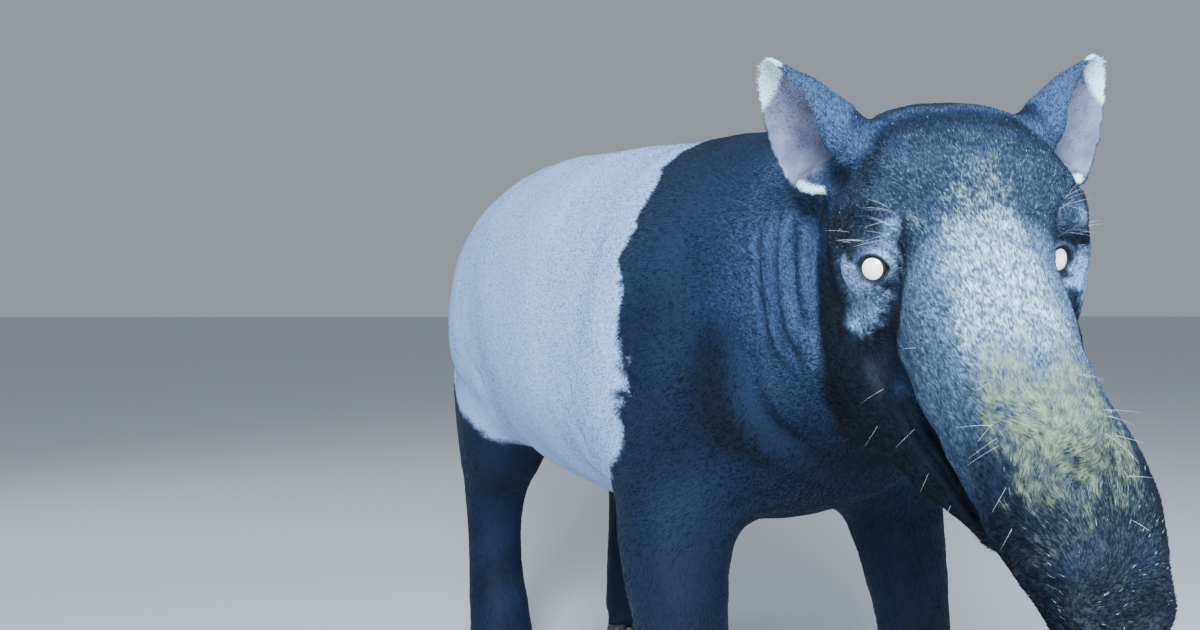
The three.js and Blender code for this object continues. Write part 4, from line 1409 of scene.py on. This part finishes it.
def hair(root, ahead, length, width, bend, sides=5, rings=7):
    """A tapered closed hair in millimetres, from its root along a direction, bent towards another."""
    share = np.linspace(0, 1, rings)[:, None]
    line = root + length * share * unit(ahead) + length * share**2 * np.asarray(bend, float)
    ahead = unit(np.gradient(line, axis=0))
    side = unit(np.cross(ahead, (0.3, 0.5, 0.8)))
    over = np.cross(ahead, side)
    angle = 2 * np.pi * np.arange(sides) / sides
    radius = width / 2 * (1 - share) ** 0.7
    outwards = np.cos(angle)[:, None] * side[:-1, None] + np.sin(angle)[:, None] * over[:-1, None]
    ring = line[:-1, None] + radius[:-1, None] * outwards
    points = np.vstack([line[:1], ring.reshape(-1, 3), line[-1:]])
    return points, grid_faces(rings - 1, sides)


def build_whiskers(skin, settings):
    """The stiff pale hairs over the eyes, on the snout, cheeks and chin."""
    rng = np.random.default_rng(settings.seed)
    tree, width = skin_tree(skin.data), settings.whisker_width
    forms = []
    for root, ahead, length, number in WHISKERS:
        for side in SIDES.values():
            for extra in range(number):
                spread = rng.normal(0, 3.2 if extra else 0.6, 3)
                at = onto(tree, from_head([flip(root, side) + spread]))[0]
                way = HEAD_TURN @ (unit(flip(ahead, side)) + rng.normal(0, 0.24, 3))
                bend = HEAD_TURN @ np.array([-0.12, 0, -0.25]) * rng.uniform(0.5, 1.4)
                forms.append(hair(at - 1.2 * unit(way), way, length * rng.uniform(0.7, 1.1), width, bend))
    points, faces = merged(forms)
    made = mesh_object("whiskers", (points - BOX_CENTRE) * MM, faces)
    shade_smooth(made.data)
    unwrap(made)
    return made


# The stage


def build_stage(settings):
    """A pale floor, soft lights and the camera where the picture is taken from."""
    corners = [(x * FLOOR_REACH, y * FLOOR_REACH, 0) for x, y in ((-1, -1), (1, -1), (1, 1), (-1, 1))]
    floor = mesh_object("studio_floor", corners, [(0, 1, 2, 3)])
    floor.data.materials.append(floor_finish(tuple(settings.floor)))
    world = bpy.data.worlds.new("studio")
    world.use_nodes = True
    world.node_tree.nodes.clear()
    air = Shade(world.node_tree)
    glow = air.node("Background", None, Color=tuple(settings.air), Strength=settings.air_strength)
    air.node("OutputWorld", None, Surface=air.out(glow))
    bpy.context.scene.world = world
    for name, (at, size) in LAMPS.items():
        lamp = bpy.data.lights.new(name, "AREA")
        lamp.size, lamp.energy = size, getattr(settings, name)
        lamp.color = settings.light
        light = bpy.data.objects.new(name, lamp)
        light.location = at
        light.rotation_euler = (Vector(LAMPS_AIM) - Vector(at)).to_track_quat("-Z", "Y").to_euler()
        bpy.context.scene.collection.objects.link(light)
    camera = bpy.data.cameras.new("camera")
    camera.lens, camera.sensor_width = settings.lens, 36
    camera.shift_x = settings.shift
    camera.clip_start, camera.clip_end = 0.05, 1000
    obj = bpy.data.objects.new("camera", camera)
    obj.location = settings.camera_at
    obj.rotation_euler = (math.pi / 2, 0, math.radians(settings.camera_yaw) - math.pi / 2)
    bpy.context.scene.collection.objects.link(obj)
    bpy.context.scene.camera = obj


# Settings, operators and panel


def colour_setting(name, default, description):
    kind = dict(size=3, subtype="COLOR", min=0, max=1)
    return FloatVectorProperty(name=name, default=default, description=description, **kind)


def power_setting(name, default, description):
    return FloatProperty(name=name, default=default, description=description, min=0, unit="POWER")


class TapirSkinSettings(bpy.types.PropertyGroup):
    voxel: FloatProperty(
        name="Voxel",
        default=0.0031,
        min=0.002,
        max=0.02,
        unit="LENGTH",
        description="Grain of the skin's first mesh",
    )
    body_points: IntProperty(
        name="Body points", default=34000, min=5000, description="Points kept on the body, besides the head's"
    )
    tufts: IntProperty(
        name="Tufts", default=48000, min=1000, max=49500, description="Most tufts in one piece of the coat"
    )
    seed: IntProperty(name="Seed", default=7, description="Start of every random draw")


class TapirColourSettings(bpy.types.PropertyGroup):
    # The slate's three tones: the coat moves between them for the hair's own streaks and also for painted
    # light and shade.
    dark: colour_setting("Dark", (0.0105, 0.022, 0.054), "Slate hair")
    dark_deep: colour_setting("Dark deep", (0.0035, 0.006, 0.012), "Slate hair, its deeper tone")
    dark_light: colour_setting("Dark light", (0.047, 0.088, 0.172), "Slate hair, its lighter tone")
    saddle: colour_setting("Saddle", (0.36, 0.50, 0.74), "White hair")
    saddle_deep: colour_setting("Saddle deep", (0.22, 0.34, 0.56), "White hair, its deeper tone")
    frost: colour_setting("Frost", (0.71, 0.98, 1.0), "Pale hairs of the snout, forehead and ear tips")
    mud: colour_setting("Mud", (0.19, 0.235, 0.15), "Dried mud on the snout")
    patch: colour_setting("Patch", (0.28, 0.43, 0.68), "Pale hair round the eye and on the cheek")
    inner_ear: colour_setting("Inner ear", (0.24, 0.25, 0.35), "Bare skin in the ear")
    inner_ear_deep: colour_setting("Inner ear deep", (0.10, 0.105, 0.17), "Bare skin, its deeper tone")
    # The pupil's two colours are a painted reflection of a flash's eyeshine.
    pupil: colour_setting("Pupil", (0.92, 0.90, 0.86), "Middle of the eye in a flash")
    eyeshine_edge: colour_setting("Pupil edge", (0.80, 0.76, 0.72), "Rim of the pupil")
    iris: colour_setting("Iris", (0.028, 0.014, 0.009), "Brown of the eye")
    iris_light: colour_setting("Iris light", (0.05, 0.028, 0.018), "Brown of the eye, its lighter tone")
    eye_edge: colour_setting("Eye edge", (0.010, 0.008, 0.008), "Dark edge of the eyeball")
    hoof: colour_setting("Hoof", (0.050, 0.046, 0.044), "Horn")
    hoof_deep: colour_setting("Hoof deep", (0.014, 0.013, 0.013), "Horn, its deeper tone")
    hoof_worn: colour_setting("Hoof worn", (0.14, 0.12, 0.10), "Scuffed horn at the sole")
    whisker: colour_setting("Whisker", (0.70, 0.76, 0.82), "Stiff hairs")
    whisker_deep: colour_setting("Whisker deep", (0.34, 0.38, 0.44), "Stiff hairs, their deeper tone")


class TapirPartSettings(bpy.types.PropertyGroup):
    cornea: FloatProperty(
        name="Cornea", default=1.0, min=0, max=3, description="How far the cornea stands out, in millimetres"
    )
    whisker_width: FloatProperty(
        name="Whisker width", default=0.27, min=0.1, max=2, description="Width at the root, in millimetres"
    )
    seed: IntProperty(name="Seed", default=19, description="Start of the whiskers' draws")


class TapirStageSettings(bpy.types.PropertyGroup):
    floor: colour_setting("Floor", (0.66, 0.67, 0.69), "Colour of the floor")
    air: colour_setting("Air", (0.74, 0.83, 0.94), "Light from all round")
    air_strength: FloatProperty(
        name="Air strength", default=0.42, min=0, description="Brightness of the light from all round"
    )
    light: colour_setting("Light", (0.78, 0.90, 1.0), "Colour of the lamps")
    key: power_setting("Key", 250, "Light from beside the camera")
    fill: power_setting("Fill", 40, "Light from the animal's left")
    back: power_setting("Back", 60, "Light from behind")
    lens: FloatProperty(
        name="Lens", default=27, min=5, description="Focal length in millimetres on a 36 mm sensor"
    )
    shift: FloatProperty(
        name="Shift", default=-0.2333, description="Sideways shift of the frame, as a share of its width"
    )
    camera_at: FloatVectorProperty(
        name="Camera",
        default=(1.27267, -0.64016, 0.72751),
        size=3,
        subtype="TRANSLATION",
        description="Where the camera stands",
    )
    camera_yaw: FloatProperty(
        name="Camera yaw", default=143, description="Direction that the camera looks in, in degrees from +X"
    )


def finished(obj, finish):
    """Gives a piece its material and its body."""
    obj.data.materials.clear()
    obj.data.materials.append(finish)
    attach(obj, BODY)


def named_material(name, make, scene):
    """The material of a name, made the first time it is asked for."""
    return bpy.data.materials.get(name) or make(scene.tapir_colours)


class TAPIR_OT_skin(bpy.types.Operator):
    """Builds the skin over the whole body"""

    bl_idname = "tapir.skin"
    bl_label = "Skin"

    def execute(self, context):
        skin = build_skin(context.scene.tapir_skin)
        finished(skin, named_material("tapir_coat", coat_finish, context.scene))
        return {"FINISHED"}


class TAPIR_OT_eyes(bpy.types.Operator):
    """Builds both eyes"""

    bl_idname = "tapir.eyes"
    bl_label = "Eyes"

    def execute(self, context):
        for where in SIDES:
            eye = build_eye(where, context.scene.tapir_parts)
            finished(eye, named_material("tapir_eye", eye_finish, context.scene))
        return {"FINISHED"}


class TAPIR_OT_hooves(bpy.types.Operator):
    """Builds the fourteen hooves"""

    bl_idname = "tapir.hooves"
    bl_label = "Hooves"

    def execute(self, context):
        for hoof in build_hooves():
            finished(hoof, named_material("tapir_hoof", hoof_finish, context.scene))
        return {"FINISHED"}


class TAPIR_OT_coat(bpy.types.Operator):
    """Grows the coat's tufts over the skin"""

    bl_idname = "tapir.coat"
    bl_label = "Coat"

    def execute(self, context):
        settings = context.scene.tapir_skin
        table = skin_table(bpy.data.objects["skin"])
        for k, (name, share, amount) in enumerate(coat_regions()):
            coat = build_coat(name, table, share, int(settings.tufts * amount), settings.seed + k)
            finished(coat, named_material("tapir_coat", coat_finish, context.scene))
        return {"FINISHED"}


class TAPIR_OT_whiskers(bpy.types.Operator):
    """Builds the stiff hairs of the face"""

    bl_idname = "tapir.whiskers"
    bl_label = "Whiskers"

    def execute(self, context):
        whiskers = build_whiskers(bpy.data.objects["skin"], context.scene.tapir_parts)
        finished(whiskers, named_material("tapir_whisker", whisker_finish, context.scene))
        return {"FINISHED"}


class TAPIR_OT_stage(bpy.types.Operator):
    """Sets the floor, lights and camera"""

    bl_idname = "tapir.stage"
    bl_label = "Stage"

    def execute(self, context):
        build_stage(context.scene.tapir_stage)
        return {"FINISHED"}


SETTINGS = [
    ("tapir_skin", TapirSkinSettings),
    ("tapir_colours", TapirColourSettings),
    ("tapir_parts", TapirPartSettings),
    ("tapir_stage", TapirStageSettings),
]
OPERATORS = [TAPIR_OT_skin, TAPIR_OT_eyes, TAPIR_OT_hooves, TAPIR_OT_coat, TAPIR_OT_whiskers, TAPIR_OT_stage]


class TAPIR_PT_panel(bpy.types.Panel):
    """Lists the tapir's settings and the steps that build it"""

    bl_idname = "TAPIR_PT_panel"
    bl_label = "Malayan tapir"
    bl_space_type = "VIEW_3D"
    bl_region_type = "UI"
    bl_category = "Tapir"

    def draw(self, context):
        for name, kind in SETTINGS:
            box = self.layout.box()
            for key in kind.__annotations__:
                box.prop(getattr(context.scene, name), key)
        for operator in OPERATORS:
            self.layout.operator(operator.bl_idname)


CLASSES = [kind for _, kind in SETTINGS] + OPERATORS + [TAPIR_PT_panel]


def register():
    for kind in CLASSES:
        bpy.utils.register_class(kind)
    for name, kind in SETTINGS:
        setattr(bpy.types.Scene, name, PointerProperty(type=kind))


def unregister():
    for name, _ in SETTINGS:
        delattr(bpy.types.Scene, name)
    for kind in reversed(CLASSES):
        bpy.utils.unregister_class(kind)


def main():
    register()
    steps = bpy.ops.tapir
    for step in (steps.skin, steps.eyes, steps.hooves, steps.coat, steps.whiskers, steps.stage):
        step()


if __name__ == "__main__":
    main()
